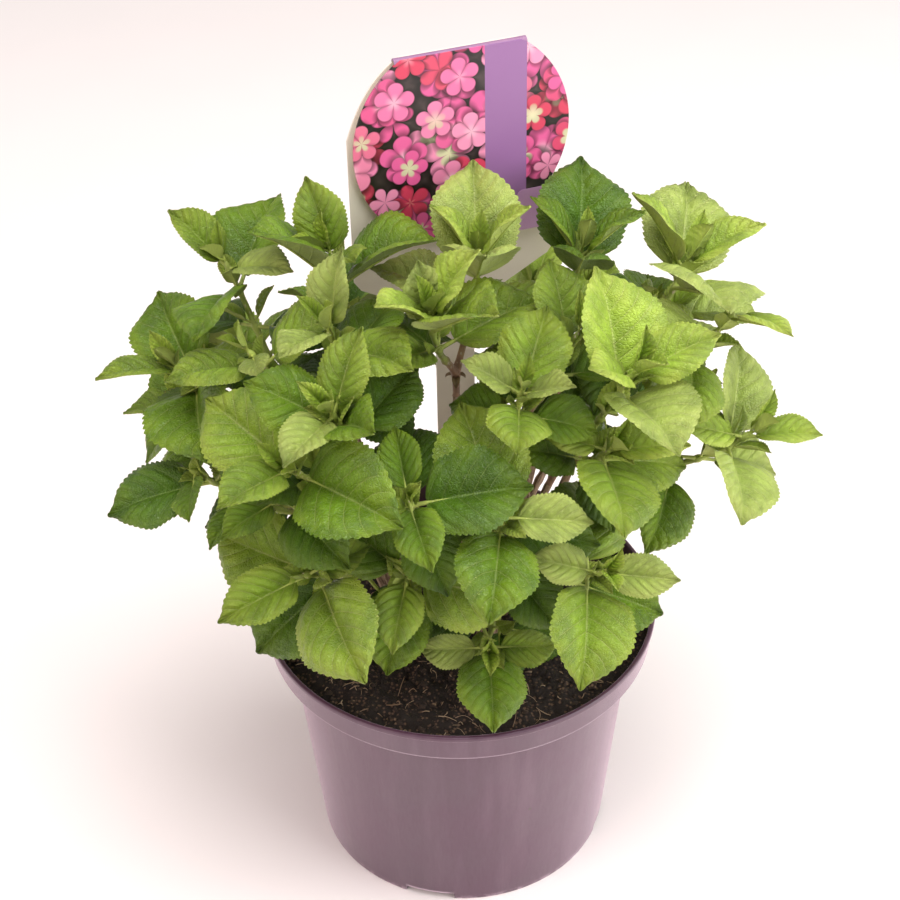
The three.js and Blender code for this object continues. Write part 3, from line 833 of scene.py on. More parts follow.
@dataclass(frozen=True)
class BlossomPrint:
    """Print on the label's flap: overlapping plain blossoms and round buds beside a plain band."""

    ground: Colour = (0.045, 0.03, 0.03)
    petals: tuple[Colour, Colour, Colour] = ((0.58, 0.045, 0.1), (0.66, 0.1, 0.28), (0.76, 0.26, 0.42))
    heart: Colour = (0.84, 0.6, 0.66)
    bud: Colour = (0.84, 0.8, 0.5)
    band: Colour = (0.297, 0.139, 0.325)
    band_from: float = 0.018
    band_to: float = 0.0425
    # Turn in degrees and blossoms in a metre of each layer, from the lowest up.
    layers: tuple[tuple[float, float], ...] = ((12, 28), (48, 25), (75, 30), (33, 36))

    def _layer(self, d: Dressing, picture: Socket, turn: float, scale: float) -> Socket:
        """Adds a layer of blossoms, whose petals end where r = 0.24 + 0.2 |cos 2.5 a|^(1/2).

        Args:
            d: the material's wiring.
            picture: the layers below.
            turn: the layer's turn in degrees.
            scale: blossoms in a metre.

        Returns:
            The picture with the layer.
        """
        values = {"Vector": d.map, "Rotation": (0, 0, math.radians(turn)), "Scale": (scale,) * 3}
        place = d.add("Mapping", values).outputs[0]
        cells = d.cells(place, 1.0)
        cells.inputs["Randomness"].default_value = 0.3
        x, y, _ = d.axes(d.vector("SUBTRACT", place, cells.outputs["Position"]))
        red, green, blue = d.axes(cells.outputs["Color"])
        angle = d.scaled(d.math("ARCTAN2", y, x), 2.5, d.times(red, 6.0))
        lobe = d.math("SQRT", d.math("ABSOLUTE", d.math("COSINE", angle)))
        share = d.math("DIVIDE", cells.outputs["Distance"], d.scaled(lobe, 0.2, 0.24))
        petal = d.mix(d.rise(red, 0.3, 0.6), self.petals[0], self.petals[1])
        petal = d.mix(d.rise(green, 0.5, 0.9), petal, self.petals[2])
        petal = d.shaded(petal, d.rise(lobe, 0.1, 0.9, 0.55, 1.1))
        petal = d.mix(d.rise(share, 0.0, 0.55, 0.75, 0.0), petal, self.heart)
        shadow = d.rise(share, 0.95, 1.35, 0.35, 1.0)
        shown = d.mix(d.rise(share, 0.93, 1.0, 1.0, 0.0), d.shaded(picture, shadow), petal)
        bud = d.shaded(self.bud, d.rise(cells.outputs["Distance"], 0.0, 0.22, 1.05, 0.7))
        _, up, _ = d.axes(d.map)
        is_bud = d.times(d.rise(blue, 0.3, 0.32), d.rise(up, 0.268, 0.29, 1.0, 0.0))
        return d.mix(d.times(is_bud, d.rise(share, 0.5, 0.62, 1.0, 0.0)), shown, bud)

    def dress(self) -> Material:
        """The print.

        Returns:
            The material.
        """
        d = Dressing("label_print", 60.0, 2500.0)
        picture = d.shaded(self.ground, d.rise(d.patches, 0.3, 0.7, 0.5, 1.5))
        for turn, scale in self.layers:
            picture = self._layer(d, picture, turn, scale)
        across, _, _ = d.axes(d.map)
        in_band = d.times(d.rise(across, self.band_from, self.band_from + 0.0003),
                         d.rise(across, self.band_to, self.band_to + 0.0003, 1.0, 0.0))
        colour = d.mix(in_band, picture, self.band)
        return d.finish(colour, d.rise(d.patches, 0.3, 0.7, 0.3, 0.38), d.bump(d.grain, 0.00003))


@dataclass(frozen=True)
class PlainFinish:
    """A plain stuff with a little unevenness, for what needs no more."""

    name: str
    colour: Colour
    second: Colour
    roughness: float
    grain: float = 300.0
    relief: float = 0.0002

    def dress(self) -> Material:
        """The stuff.

        Returns:
            The material.
        """
        d = Dressing(self.name, self.grain / 6, self.grain)
        colour = d.mix(d.rise(d.patches, 0.3, 0.7), self.colour, self.second)
        dull = d.rise(d.grain, 0.2, 0.8, self.roughness - 0.06, self.roughness + 0.06)
        return d.finish(colour, dull, d.bump(d.grain, self.relief))


# ---- growth

SOIL_LEVEL = 153.0
CLEARANCE = 0.3
BACK = np.array([0.0, 1.0, 0.0])
LIGHT = unit(np.array([0.0, -0.35, 0.94]))
LIGHT_PULL = 0.5
CROWN_LEVEL = 235.0
CROWN_RADII = np.array([170.0, 140.0, 155.0])
SHOOT_STATIONS = (0.0, 0.4, 0.7, 1.0)

# One row for each cane, and in it each shoot of its spray: azimuth in degrees, reach and height of
# the tip, turn of the second leaf pair in degrees, and size of the leaves.
CANES = (
    ((156, 138, 364, 155, 0.9), (170, 156, 312, 15, 1.05)),
    ((146, 81, 375, 110, 1.05), (117, 145, 285, 10, 0.95)),
    ((177, 112, 338, 100, 0.75), (188, 67, 360, 50, 1)),
    ((192, 148, 286, 85, 0.85), (203, 124, 280, 50, 0.75), (213, 112, 290, 20, 0.75)),
    ((220, 114, 318, 40, 1.05), (223, 87, 342, 50, 1.05)),
    ((225, 117, 254, 20, 1.1), (251, 85, 249, 70, 1)),
    ((309, 54, 341, 170, 0.8), (0, 66, 350, 20, 0.85)),
    ((253, 88, 304, 100, 0.9),),
    ((286, 88, 293, 0, 1), (290, 76, 250, 45, 0.65)),
    ((280, 86, 200, 5, 0.85), (312, 114, 254, 5, 0.95)),
    ((339, 88, 295, 10, 1), (345, 97, 340, 30, 1.1)),
    ((200, 14, 365, 35, 1), (73, 46, 370, 0, 0.95)),
    ((3, 164, 274, 10, 1), (15, 153, 297, 30, 0.5)),
    ((32, 156, 341, 0, 1.25), (11, 156, 341, -60, 1.1)),
    ((40, 92, 364, 0, 1.05), (23, 122, 342, 75, 0.95)),
    ((80, 148, 285, 35, 0.95), (68, 126, 305, 70, 0.9)),
    ((57, 152, 280, 60, 0.95), (38, 155, 276, 15, 0.95)),
    ((141, 160, 275, 45, 0.95), (158, 168, 262, 0, 0.9)),
)


def jitter(shoot: int, pair: int, side: int, use: int) -> float:
    """The growth rule's noise from -1 to 1, the same for the same four whole numbers.

    Args:
        shoot: number of the shoot or cane.
        pair: number of the leaf pair.
        side: which of the two leaves.
        use: what the noise is for.

    Returns:
        The noise.
    """
    h = 0
    for number, factor in zip((shoot, pair, side, use), FACTORS):
        h ^= (number + 1) * factor
    return folded(h & LOW_BITS) / 2 ** 31 - 1


def facing(tip: Array) -> Array:
    """The way a shoot faces: out of the crown's ellipsoid, and partly up to the light."""
    out = unit((tip - [0, 0, CROWN_LEVEL]) / CROWN_RADII ** 2)
    return unit(out * (1 - LIGHT_PULL) + LIGHT * LIGHT_PULL)


def outward(axis: Array, turn: float) -> Array:
    """The direction square to an axis at a turn in degrees: 0 towards +X and 90 towards +Y."""
    first = unit(np.cross(BACK, axis))
    return first * math.cos(math.radians(turn)) + np.cross(axis, first) * math.sin(math.radians(turn))


@dataclass(frozen=True)
class Bend:
    """A bent curve from A by B to C."""

    a: Array
    b: Array
    c: Array

    def at(self, t: Array | float) -> Array:
        """Points at places from 0 to 1."""
        return bent(self.a, self.b, self.c, np.asarray(t, float)[..., None])

    def length(self) -> float:
        """Its length, measured over 200 chords."""
        return float(np.linalg.norm(np.diff(self.at(np.linspace(0, 1, 201)), axis=0), axis=1).sum())


@dataclass(frozen=True)
class LeafPair:
    """How one pair of leaves stands on its shoot; `at` counts the shoot's straight sections."""

    at: float
    length: float
    petiole: float
    lift: float
    curl: float
    fold: float
    breadth: float
    turn: float


# The first four pairs are those of the solids. The rest are finer growth: leaves in the axils of
# the second and third pair, and the folded leaves of the bud at the tip.
LEAF_PAIRS = (
    LeafPair(0.7, 42, 12, -4, 24, 10, 0.8, -90),
    LeafPair(1.3, 50, 10, 12, 22, 10, 0.82, 0),
    LeafPair(2.2, 57, 9, 50, 22, 13, 0.82, 90),
    LeafPair(2.75, 40, 7, 62, 14, 16, 0.66, 180),
    LeafPair(1.36, 22, 6, 52, 12, 22, 0.6, 38),
    LeafPair(2.26, 20, 5, 66, 12, 24, 0.58, 128),
    LeafPair(2.95, 23, 4, 76, 10, 34, 0.5, 270),
    LeafPair(3.0, 12, 2, 84, 8, 42, 0.42, 360),
)
PLACING_ORDER = (2, 1, 3, 0)
FINER_ORDER = (6, 7, 4, 5)
TURN_JITTER, LIFT_JITTER, LENGTH_JITTER = 9.0, 8.0, 0.12
LEVELLING, FLATTENING = 0.65, 0.9
PEAK, SHAPE_BASE = 0.4, 0.62
SHAPE_TIP = SHAPE_BASE * (1 - PEAK) / PEAK

# What a leaf tries when its place is taken: share of its length, change of lift and of turn.
TRIES = (
    (1, 0, 0), (1, 12, 0), (1, -12, 0), (1, 6, 14), (1, 6, -14), (1, 24, 6), (0.9, -20, -8),
    (0.88, 10, 24), (0.88, 10, -24), (0.76, 30, 8), (0.76, -6, -16), (0.64, 0, 12), (0.64, 34, -10),
    (0.5, 16, 0),
)
LEAF_SPACE, SISTER_SPACE, LIMB_SPACE = 6.5, 4.0, 4.0
SAMPLE_ROWS, SAMPLE_COLUMNS = 11, 9


def outline(t: Array) -> Array:
    """Half the breadth t^a (1-t)^b at a place t from base to tip, as a share of its greatest value."""
    peak = PEAK ** SHAPE_BASE * (1 - PEAK) ** SHAPE_TIP
    return t ** SHAPE_BASE * (1 - t) ** SHAPE_TIP / peak


@dataclass(frozen=True)
class Leaf:
    """Where one leaf grows and how it is set, or the same of many leaves in arrays.

    The midrib is an arc that leaves the root at the angle `lift` over `out` and turns down by
    `curl`, and the blade's halves rise from it at the angle `fold`.
    """

    root: Array
    axis: Array
    out: Array
    across: Array
    lift: Array | float
    curl: Array | float
    fold: Array | float
    petiole: Array | float
    length: Array | float
    breadth: Array | float
    seed: Array | int

    @classmethod
    def stacked(cls, leaves: Sequence["Leaf"]) -> "Leaf":
        """Many leaves as one, whose values broadcast over a grid of rows and columns."""
        values = ([getattr(leaf, name) for leaf in leaves] for name in cls.__dataclass_fields__)
        return cls(*(np.array(value)[:, None, None] for value in values))

    def points(self, along: Array, wide: Array, proud: Array, crease: float = 0.0) -> Array:
        """Points of the blade: root + out (f - h sin b) + axis (g + h cos b) + across w cos(fold).

        b is the midrib's angle at a distance along it, f and g how far the arc has come forward
        and up, and h the height |w| sin(fold) + proud over the midrib.

        Args:
            along: distance from the shoot's axis along the midrib.
            wide: distance w from the midrib, less than 0 on one side.
            proud: height over the folded blade.
            crease: how softly the fold turns at the midrib.

        Returns:
            The points.
        """
        bend = self.curl / (self.petiole + self.length)
        angle = self.lift - bend * along
        forward = (np.sin(self.lift) - np.sin(angle)) / bend
        rise = (np.cos(angle) - np.cos(self.lift)) / bend
        off = np.sqrt(wide ** 2 + crease ** 2) - crease
        height = off * np.sin(self.fold) + proud
        return (
            self.root
            + self.out * (forward - height * np.sin(angle))[..., None]
            + self.axis * (rise + height * np.cos(angle))[..., None]
            + self.across * (wide * np.cos(self.fold))[..., None]
        )


@dataclass
class Shoot:
    """One leafy shoot of a spray."""

    number: int
    tip: Array
    axis: Array
    turn: float
    size: float
    curve: Bend
    leaves: dict[int, list[Leaf]] = field(default_factory=dict)

    def at(self, place: Array | float) -> Array:
        """Points of its straight-sided axis.

        Args:
            place: places from 0 to the number of sections.

        Returns:
            The points.
        """
        place = np.clip(place, 0, len(SHOOT_STATIONS) - 1)
        section = np.minimum(np.floor(place).astype(int), len(SHOOT_STATIONS) - 2)
        corners = self.curve.at(np.array(SHOOT_STATIONS))
        share = np.asarray(place - section, float)[..., None]
        return corners[section] * (1 - share) + corners[section + 1] * share

    def set_leaf(self, pair_index: int, side: int, change: tuple[float, float, float]) -> Leaf:
        """One leaf of an opposite pair, each pair standing a quarter turn on from the last.

        Args:
            pair_index: which pair.
            side: which of its two leaves, 0 or 1.
            change: as in TRIES.

        Returns:
            The leaf.
        """
        pair = LEAF_PAIRS[pair_index]
        share, lift_change, turn_change = change
        noise = [jitter(self.number, pair_index, side, use) for use in range(5)]
        turn = self.turn + pair.turn + 180 * side + TURN_JITTER * noise[0] + turn_change
        out = outward(self.axis, turn)
        lift = math.radians(pair.lift + LIFT_JITTER * noise[1] + lift_change)
        if pair_index not in FINER_ORDER:
            lift -= math.radians(pair.lift) * FLATTENING * math.hypot(self.axis[0], self.axis[1])
            lift -= LEVELLING * math.asin(float(out @ LIGHT))
        return Leaf(
            self.at(pair.at), self.axis, out, np.cross(self.axis, out), lift,
            math.radians(pair.curl) * (1 + 0.3 * noise[2]), math.radians(pair.fold) * (1 + 0.3 * noise[3]),
            pair.petiole, pair.length * self.size * share * (1 + LENGTH_JITTER * noise[4]), pair.breadth,
            self.number * 16 + pair_index * 2 + side,
        )


@dataclass
class Spray:
    """A cane with the stem and shoots that grow on from its tip."""

    number: int
    cane: Bend
    start: Array
    fork: Array
    shoots: list[Shoot]

    fork_drop = 58.0
    fork_pull = 0.84
    foot_circle, foot_spread = 16.0, 0.3
    rise, lean = 0.55, 0.16
    stem_length = 16.0

    @classmethod
    def grown(cls, row: Sequence[Sequence[float]], number: int, first_shoot: int) -> "Spray":
        """A cane that bends over from its foot to the fork under its shoots' tips.

        Args:
            row: the shoots, as in CANES.
            number: the cane's number.
            first_shoot: the number of its first shoot.

        Returns:
            The spray, without leaves.
        """
        tips = [polar(math.radians(azimuth), reach, height) for azimuth, reach, height, _, _ in row]
        axes = [facing(tip) for tip in tips]
        fork = sum(tip - cls.fork_drop * axis for tip, axis in zip(tips, axes)) / len(tips)
        fork[:2] *= cls.fork_pull
        reach, azimuth = math.hypot(fork[0], fork[1]), math.atan2(fork[1], fork[0])
        foot = polar(azimuth, cls.foot_circle + cls.foot_spread * reach, SOIL_LEVEL + CLEARANCE)
        bend = foot + [0, 0, cls.rise * (fork[2] - foot[2])]
        bend = bend + polar(azimuth, cls.lean * (bend[2] - foot[2]) * (1 + jitter(number, 0, 0, 9)) / 2)
        lead = unit(fork - bend)
        start = fork - cls.stem_length * lead
        shoots = []
        for i, (tip, axis, shoot_row) in enumerate(zip(tips, axes, row)):
            length = float(np.linalg.norm(fork - tip))
            curve = Bend(fork, tip - 0.5 * length * axis, tip)
            shoots.append(Shoot(first_shoot + i, tip, axis, shoot_row[3], shoot_row[4], curve))
        return cls(number, Bend(foot, bend, start - CLEARANCE * lead), start, fork, shoots)

    def stem(self) -> Bend:
        """The straight stem from the cane's tip to the fork."""
        return Bend(self.start, (self.start + self.fork) / 2, self.fork)


class Space:
    """Places that are taken, and how far others keep from them."""

    # Nothing further off than this keeps a leaf away.
    reach = 12.0

    def __init__(self) -> None:
        """Starts empty."""
        self.points = np.empty((0, 3))
        self.owners = np.empty(0, int)
        self.keeps = np.empty(0)
        self.outers = np.empty(0, bool)

    def add(self, points: Array, owner: int, keep: float, outers: Array | bool = False) -> None:
        """Takes places for an owner.

        Args:
            points: the places.
            owner: the number of the shoot that they belong to, or -1.
            keep: the distance that others keep.
            outers: which of them lie in the outer half of a leaf.
        """
        self.points = np.concatenate([self.points, points])
        self.owners = np.append(self.owners, np.full(len(points), owner))
        self.keeps = np.append(self.keeps, np.full(len(points), float(keep)))
        self.outers = np.append(self.outers, np.broadcast_to(outers, len(points)))

    def is_free(self, samples: Array, outers: Array, owner: int) -> bool:
        """Whether a leaf keeps clear of all that others hold, and of its sisters.

        Args:
            samples: the leaf's points.
            outers: which of them lie in its outer half.
            owner: its shoot's number.

        Returns:
            True where it has room.
        """
        low, high = samples.min(0) - self.reach, samples.max(0) + self.reach
        near = np.all((self.points > low) & (self.points < high), axis=1)
        gaps = np.linalg.norm(samples[:, None] - self.points[near][None], axis=2)
        sisters = self.owners[near] == owner
        sister_limit = np.where(outers[:, None] & self.outers[near], SISTER_SPACE, 0.0)
        return not np.any(gaps < np.where(sisters, sister_limit, self.keeps[near]))


class Shrub:
    """The whole plant: canes, sprays and every leaf in its place."""

    cane_radius, stem_radius, shoot_radius = 2.9, 2.2, 2.1
    limb_step = 3.0
    # Leaves keep 7 mm over the soil and 6 mm over the rim.
    lowest_inside, lowest_outside = 160.0, 169.0

    def __init__(self, label: "Label") -> None:
        """Grows the canes and places the leaves clear of the label.

        Args:
            label: the label that stands among the leaves.
        """
        self.sprays: list[Spray] = []
        for number, row in enumerate(CANES):
            self.sprays.append(Spray.grown(row, number, sum(len(s.shoots) for s in self.sprays)))
        self.space = Space()
        for points in label.sample_rows():
            self.space.add(points, -1, LEAF_SPACE)
        for spray in self.sprays:
            self._take_limb(spray.cane, self.cane_radius, -1)
            self._take_limb(spray.stem(), self.stem_radius, -1)
            for shoot in spray.shoots:
                self._take_limb(shoot.curve, self.shoot_radius, shoot.number)
        for pair_index in PLACING_ORDER + FINER_ORDER:
            for shoot in self.shoots():
                for side in (0, 1):
                    self._place(shoot, pair_index, side)

    def shoots(self) -> list[Shoot]:
        """All shoots, in the order of their numbers."""
        return [shoot for spray in self.sprays for shoot in spray.shoots]

    def nodes(self, kind: str) -> list[str]:
        """The names of the solids of a kind, one for each spray."""
        return [f"{kind}_{spray.number + 1:02d}" for spray in self.sprays]

    def _take_limb(self, curve: Bend, radius: float, owner: int) -> None:
        """Keeps leaves off a limb."""
        steps = math.ceil(curve.length() / self.limb_step)
        self.space.add(curve.at(np.arange(steps + 1) / steps), owner, radius + LIMB_SPACE)

    def _is_over_pot(self, points: Array) -> bool:
        """Whether all points keep over the soil and the rim."""
        inside = np.hypot(points[:, 0], points[:, 1]) < Pot.shoulder_radius
        return bool(np.all(points[:, 2] > np.where(inside, self.lowest_inside, self.lowest_outside)))

    def _place(self, shoot: Shoot, pair_index: int, side: int) -> None:
        """Sets a leaf in the first way that leaves it room, or skips it.

        Args:
            shoot: its shoot.
            pair_index: its pair.
            side: which of the pair it is.
        """
        t = (np.arange(SAMPLE_ROWS) + 1)[:, None] / SAMPLE_ROWS
        s = 2 * np.arange(SAMPLE_COLUMNS) / (SAMPLE_COLUMNS - 1) - 1
        outers = np.broadcast_to(t > 0.5, (SAMPLE_ROWS, SAMPLE_COLUMNS)).ravel()
        for change in TRIES:
            leaf = shoot.set_leaf(pair_index, side, change)
            wide = leaf.length * leaf.breadth / 2 * outline(t) * s
            along = np.broadcast_to(leaf.petiole + t * leaf.length, wide.shape)
            samples = leaf.points(along, wide, np.zeros_like(wide)).reshape(-1, 3)
            if self._is_over_pot(samples) and self.space.is_free(samples, outers, shoot.number):
                self.space.add(samples, shoot.number, LEAF_SPACE, outers)
                shoot.leaves.setdefault(pair_index, []).append(leaf)
                return


# ---- leaves

@dataclass(frozen=True)
class Blade:
    """The mesh of a toothed leaf: a thin closed shell over rows along it and columns across."""

    teeth: int = 19
    columns: tuple[float, ...] = (0.06, 0.2, 0.4, 0.6, 0.8, 0.94, 1.0)
    tooth_depth: float = 0.55
    thickness: float = 0.42
    crease: float = 1.3
    stalk_sides: int = 6

    def _grid(self) -> tuple[Array, Array, Array]:
        """The grid of rows from base to tip and columns from edge to edge, toothed at its edge.

        Returns:
            The places t of the rows, the places s of the columns, and each row's share of a tooth.
        """
        steps = (np.arange(self.teeth)[:, None] + np.array([0.0, 0.38, 0.76])).ravel() / self.teeth
        t = 0.004 + 0.99 * np.append(steps, 1.0)
        rise = np.append(np.tile([-1.0, 0.35, 1.0], self.teeth), 0.0)
        fade = smooth(0.03, 0.25, t) * (1 - 0.8 * smooth(0.8, 1.0, t))
        half = np.array(self.columns)
        s = np.concatenate([-half[::-1], [0.0], half])
        return t[:, None], s, (rise * fade)[:, None]

    def _relief(self, leaf: Leaf, t: Array, s: Array, half: Array) -> Array:
        """Height over the folded blade: quilting |sin(pi n)| with n = pairs (t - 0.36 |s|
        (4t(1-t))^0.6) whole on a side vein, a grooved midrib, arched halves, waves and a droop.

        Args:
            leaf: the leaves.
            t: place along.
            s: place across.
            half: half the blade's breadth there.

        Returns:
            The height for each leaf, row and column.
        """
        off = np.abs(s)
        vein = np.abs(np.sin(np.pi * VEIN_PAIRS * (t - 0.36 * off * (4 * t * (1 - t)) ** 0.6)))
        plump = 0.011 + 0.022 * hashed(leaf.seed, 6)
        quilt = plump * leaf.length * vein * smooth(0.03, 0.25, off) * (1 - smooth(0.8, 1.0, off))
        groove = -0.45 * hump(s * half, 0, 1.2)
        arch = (0.1 + 0.1 * hashed(leaf.seed, 5)) * half * np.sin(np.pi * off)
        wave = clouds(t * 3.6 + 7.0 * leaf.seed, np.sign(s) * 0.7 + leaf.seed * 1.3, leaf.seed)
        edge = 0.06 * leaf.length * off ** 2 * wave * (1 - 0.6 * smooth(0.7, 1.0, t))
        roll = 0.3 * (hashed(leaf.seed, 3) - 0.5) * s * half * np.sin(1 + 3 * t)
        cup = 0.34 * (hashed(leaf.seed, 4) - 0.3) * off ** 2 * half
        return quilt + groove + arch + edge + roll + cup - self._droop(leaf, t)

    @staticmethod
    def _droop(leaf: Leaf, t: Array) -> Array:
        """How far the tip hangs below the midrib's arc at a place t along it."""
        return 0.05 * leaf.length * smooth(0.62, 1.0, t)

    def _blades(self, leaf: Leaf) -> Surface:
        """The shells: the top's grid, and inside its border a second grid a thickness lower.

        Args:
            leaf: the leaves.

        Returns:
            The closed shells, of finish 0 above and 1 below.
        """
        t, s, tooth = self._grid()
        fuller = 1 + 0.1 * hump(t, 0.6, 0.16) + 0.1 * hump(t, 0.14, 0.1) - 0.34 * hump(t, 0.93, 0.06)
        half = leaf.length * leaf.breadth / 2 * (outline(t) * fuller)
        depth = self.tooth_depth * leaf.length / 50 * tooth * (np.abs(s) == 1)
        wide = np.sign(s) * np.maximum(half * np.abs(s) + depth, 0.05 * np.abs(s))
        along = np.broadcast_to(leaf.petiole + t * leaf.length, wide.shape)
        proud = self._relief(leaf, t, s, half)
        top = leaf.points(along, wide, proud, self.crease)
        inner = (slice(None), slice(1, -1), slice(1, -1))
        thin = self.thickness * np.minimum(1.0, half / 3)
        low = leaf.points(along, wide, proud - thin, self.crease)[inner]
        count, rows, columns = wide.shape
        below = np.arange(rows * columns).reshape(rows, columns)
        below[1:-1, 1:-1] = rows * columns + np.arange((rows - 2) * (columns - 2)).reshape(rows - 2, -1)
        quads = grid_faces(rows, columns)
        points = np.concatenate([top.reshape(count, -1, 3), low.reshape(count, -1, 3)], axis=1)
        place = np.stack(np.broadcast_arrays((s + 1) / 2, t), -1)
        places = np.concatenate([place.reshape(-1, 2), place[1:-1, 1:-1].reshape(-1, 2)])
        return Surface.copies(points, [quads[:, ::-1], below.ravel()[quads]], places, (0, 1))

    def _stalks(self, leaf: Leaf) -> Surface:
        """Leaf stalks that run on as a tapering rib under the midrib.

        Each ring is centre + r (across cos a + up sin a).

        Args:
            leaf: the leaves.

        Returns:
            The closed stalks, of finish 2.
        """
        stalk = np.linspace(0.02, 1.0, 8)[:, None]
        rib = np.array([0.05, 0.15, 0.3, 0.45, 0.6, 0.75, 0.9])[:, None]
        size = np.sqrt(leaf.length / 50)
        along = np.concatenate([leaf.petiole * stalk + 0 * size, leaf.petiole + leaf.length * rib], axis=1)
        ribbed = size * (0.95 - 0.8 * rib)
        radius = np.concatenate([size * (1.15 + 0.55 * (1 - stalk) ** 3), ribbed], axis=1)
        buried = 0.55 + ribbed * smooth(-0.05, 0.3, rib) + self._droop(leaf, rib)
        sunk = np.concatenate([0.5 * stalk ** 2 + 0 * size, buried], axis=1)
        angle = round_turns(self.stalk_sides)
        wide = radius * np.cos(angle)
        proud = radius * np.sin(angle) - sunk
        points = leaf.points(np.broadcast_to(along, wide.shape), wide, proud)
        _, rows, sides = wide.shape
        ring = np.arange(sides)[None]
        quads = grid_faces(rows, sides, wrap_columns=True)
        faces = [quads[:, ::-1], ring, ((rows - 1) * sides + ring)[:, ::-1]]
        return Surface.copies(points, faces, np.ones((rows * sides, 2)), (2, 2, 2))

    def build(self, leaves: Sequence[Leaf]) -> Surface:
        """Many leaves: finish 0 above, 1 below and 2 on their stalks.

        Args:
            leaves: the leaves.

        Returns:
            Their joined shells and stalks.
        """
        stacked = Leaf.stacked(leaves)
        return Surface.joined([self._blades(stacked), self._stalks(stacked)])


class Foliage:
    """All leaves, dealt out by age and by painted light: sprays that get more light take paler colours."""

    broad = Blade()
    small = Blade(teeth=13, columns=(0.1, 0.4, 0.75, 1.0), tooth_depth=0.7, thickness=0.35, crease=0.8,
                  stalk_sides=5)
    small_below = 32
    most_in_piece = 60
    # How far in millimetres the leaves keep inside the box of the solids.
    margin = 0.2
    # Ages of a deeply shaded shoot's four pairs from its foot up. Each step into the light moves one on, to
    # paler colours as painted light.
    ladder = (*[LeafAgeAndLight.OLD] * 3, LeafAgeAndLight.SHADE, LeafAgeAndLight.PRIME, LeafAgeAndLight.FRESH, *[LeafAgeAndLight.YOUNG] * 2)
    light_steps = (0.1, 0.6, 1.25, 1.75)
    # How much paler each cane's leaves are than its place in the light makes them: partly painted light and
    # shade, partly their own tone.
    paling = (-0.15, -0.45, 0.25, -0.35, -0.15, 0.5, 0.0, -0.9, -0.15, 0.35, 0.35, 0.65, 0.5, -0.05, -1.5,
              0.35, -0.8, 0.15)
    finishes = (
        LeafFinish(LeafAgeAndLight.OLD, (0.05, 0.112, 0.003), (0.105, 0.17, 0.005), (0.2, 0.275, 0.055),
                   (0.2, 0.3, 0.065), 0.28),
        LeafFinish(LeafAgeAndLight.SHADE, (0.088, 0.17, 0.004), (0.165, 0.245, 0.008), (0.26, 0.335, 0.07),
                   (0.3, 0.38, 0.095), 0.28),
        LeafFinish(LeafAgeAndLight.PRIME, (0.152, 0.242, 0.016), (0.25, 0.32, 0.03), (0.35, 0.41, 0.1),
                   (0.4, 0.46, 0.135), 0.28),
        LeafFinish(LeafAgeAndLight.FRESH, (0.27, 0.352, 0.066), (0.38, 0.44, 0.105), (0.455, 0.525, 0.145),
                   (0.55, 0.6, 0.21), 0.29),
        LeafFinish(LeafAgeAndLight.YOUNG, (0.28, 0.405, 0.04), (0.43, 0.5, 0.085), (0.475, 0.56, 0.11),
                   (0.57, 0.64, 0.19), 0.29),
        LeafFinish(LeafAgeAndLight.BUD, (0.25, 0.39, 0.02), (0.44, 0.53, 0.075), (0.46, 0.56, 0.095),
                   (0.58, 0.65, 0.19), 0.36),
    )
    stalk = StemFinish("leaf_stalk", (0.36, 0.36, 0.09), (0.38, 0.45, 0.09), (0.55, 0.58, 0.2), 0.0, 0.01)

    def __init__(self, shrub: Shrub) -> None:
        """Deals the leaves out.

        Args:
            shrub: the grown plant.
        """
        self.shrub = shrub
        self.by_age_and_light = {age: [] for age in LeafAgeAndLight}
        for spray in shrub.sprays:
            for shoot in spray.shoots:
                for pair_index, leaves in shoot.leaves.items():
                    for leaf in leaves:
                        age = self._age(shoot, pair_index, leaf, self.paling[spray.number])
                        self.by_age_and_light[age].append((spray.number, leaf))

    @classmethod
    def _age(cls, shoot: Shoot, pair_index: int, leaf: Leaf, paling: float) -> LeafAgeAndLight:
        """A leaf's age from its pair, moved on to paler colours as painted light where its shoot stands in
        the light.

        The light grows smoothly to the right and with height, and differs a little by leaf.

        Args:
            shoot: its shoot.
            pair_index: its pair.
            leaf: the leaf.
            paling: how much paler its cane's leaves are.

        Returns:
            The age.
        """
        if pair_index in (6, 7):
            return LeafAgeAndLight.BUD
        if pair_index in (4, 5):
            return LeafAgeAndLight.YOUNG
        # Painted light: the further right and higher the shoot's tip, the paler its leaves.
        light = smooth(-40, 170, shoot.tip[0] + 0.25 * shoot.tip[1]) + smooth(220, 340, shoot.tip[2]) * 0.7
        light += 0.5 * float(hashed(leaf.seed, 11)) - 0.25 + paling
        return cls.ladder[pair_index + int(np.searchsorted(cls.light_steps, light))]

    def build(self) -> None:
        """Makes the pieces: the leaves of each age, in as few pieces as stay light."""
        stalk = self.stalk.dress()
        for finish in self.finishes:
            found = self.by_age_and_light[finish.age]
            finishes = [finish.dress_upper(), finish.dress_under(), stalk]
            parts = math.ceil(len(found) / self.most_in_piece)
            for part in range(parts):
                share = found[part::parts]
                small = [leaf for _, leaf in share if leaf.length < self.small_below]
                broad = [leaf for _, leaf in share if leaf.length >= self.small_below]
                sizes = ((self.broad, broad), (self.small, small))
                surface = Surface.joined([blade.build(some) for blade, some in sizes if some])
                low, high = np.array(CAD_LOW) / MM + self.margin, np.array(CAD_HIGH) / MM - self.margin
                surface.points = np.clip(surface.points, low, high)
                nodes = sorted({self.shrub.nodes("foliage")[number] for number, _ in share})
                add_piece(f"leaves_{finish.age.value}_{part + 1}", surface, finishes, nodes)


# ---- canes and shoots

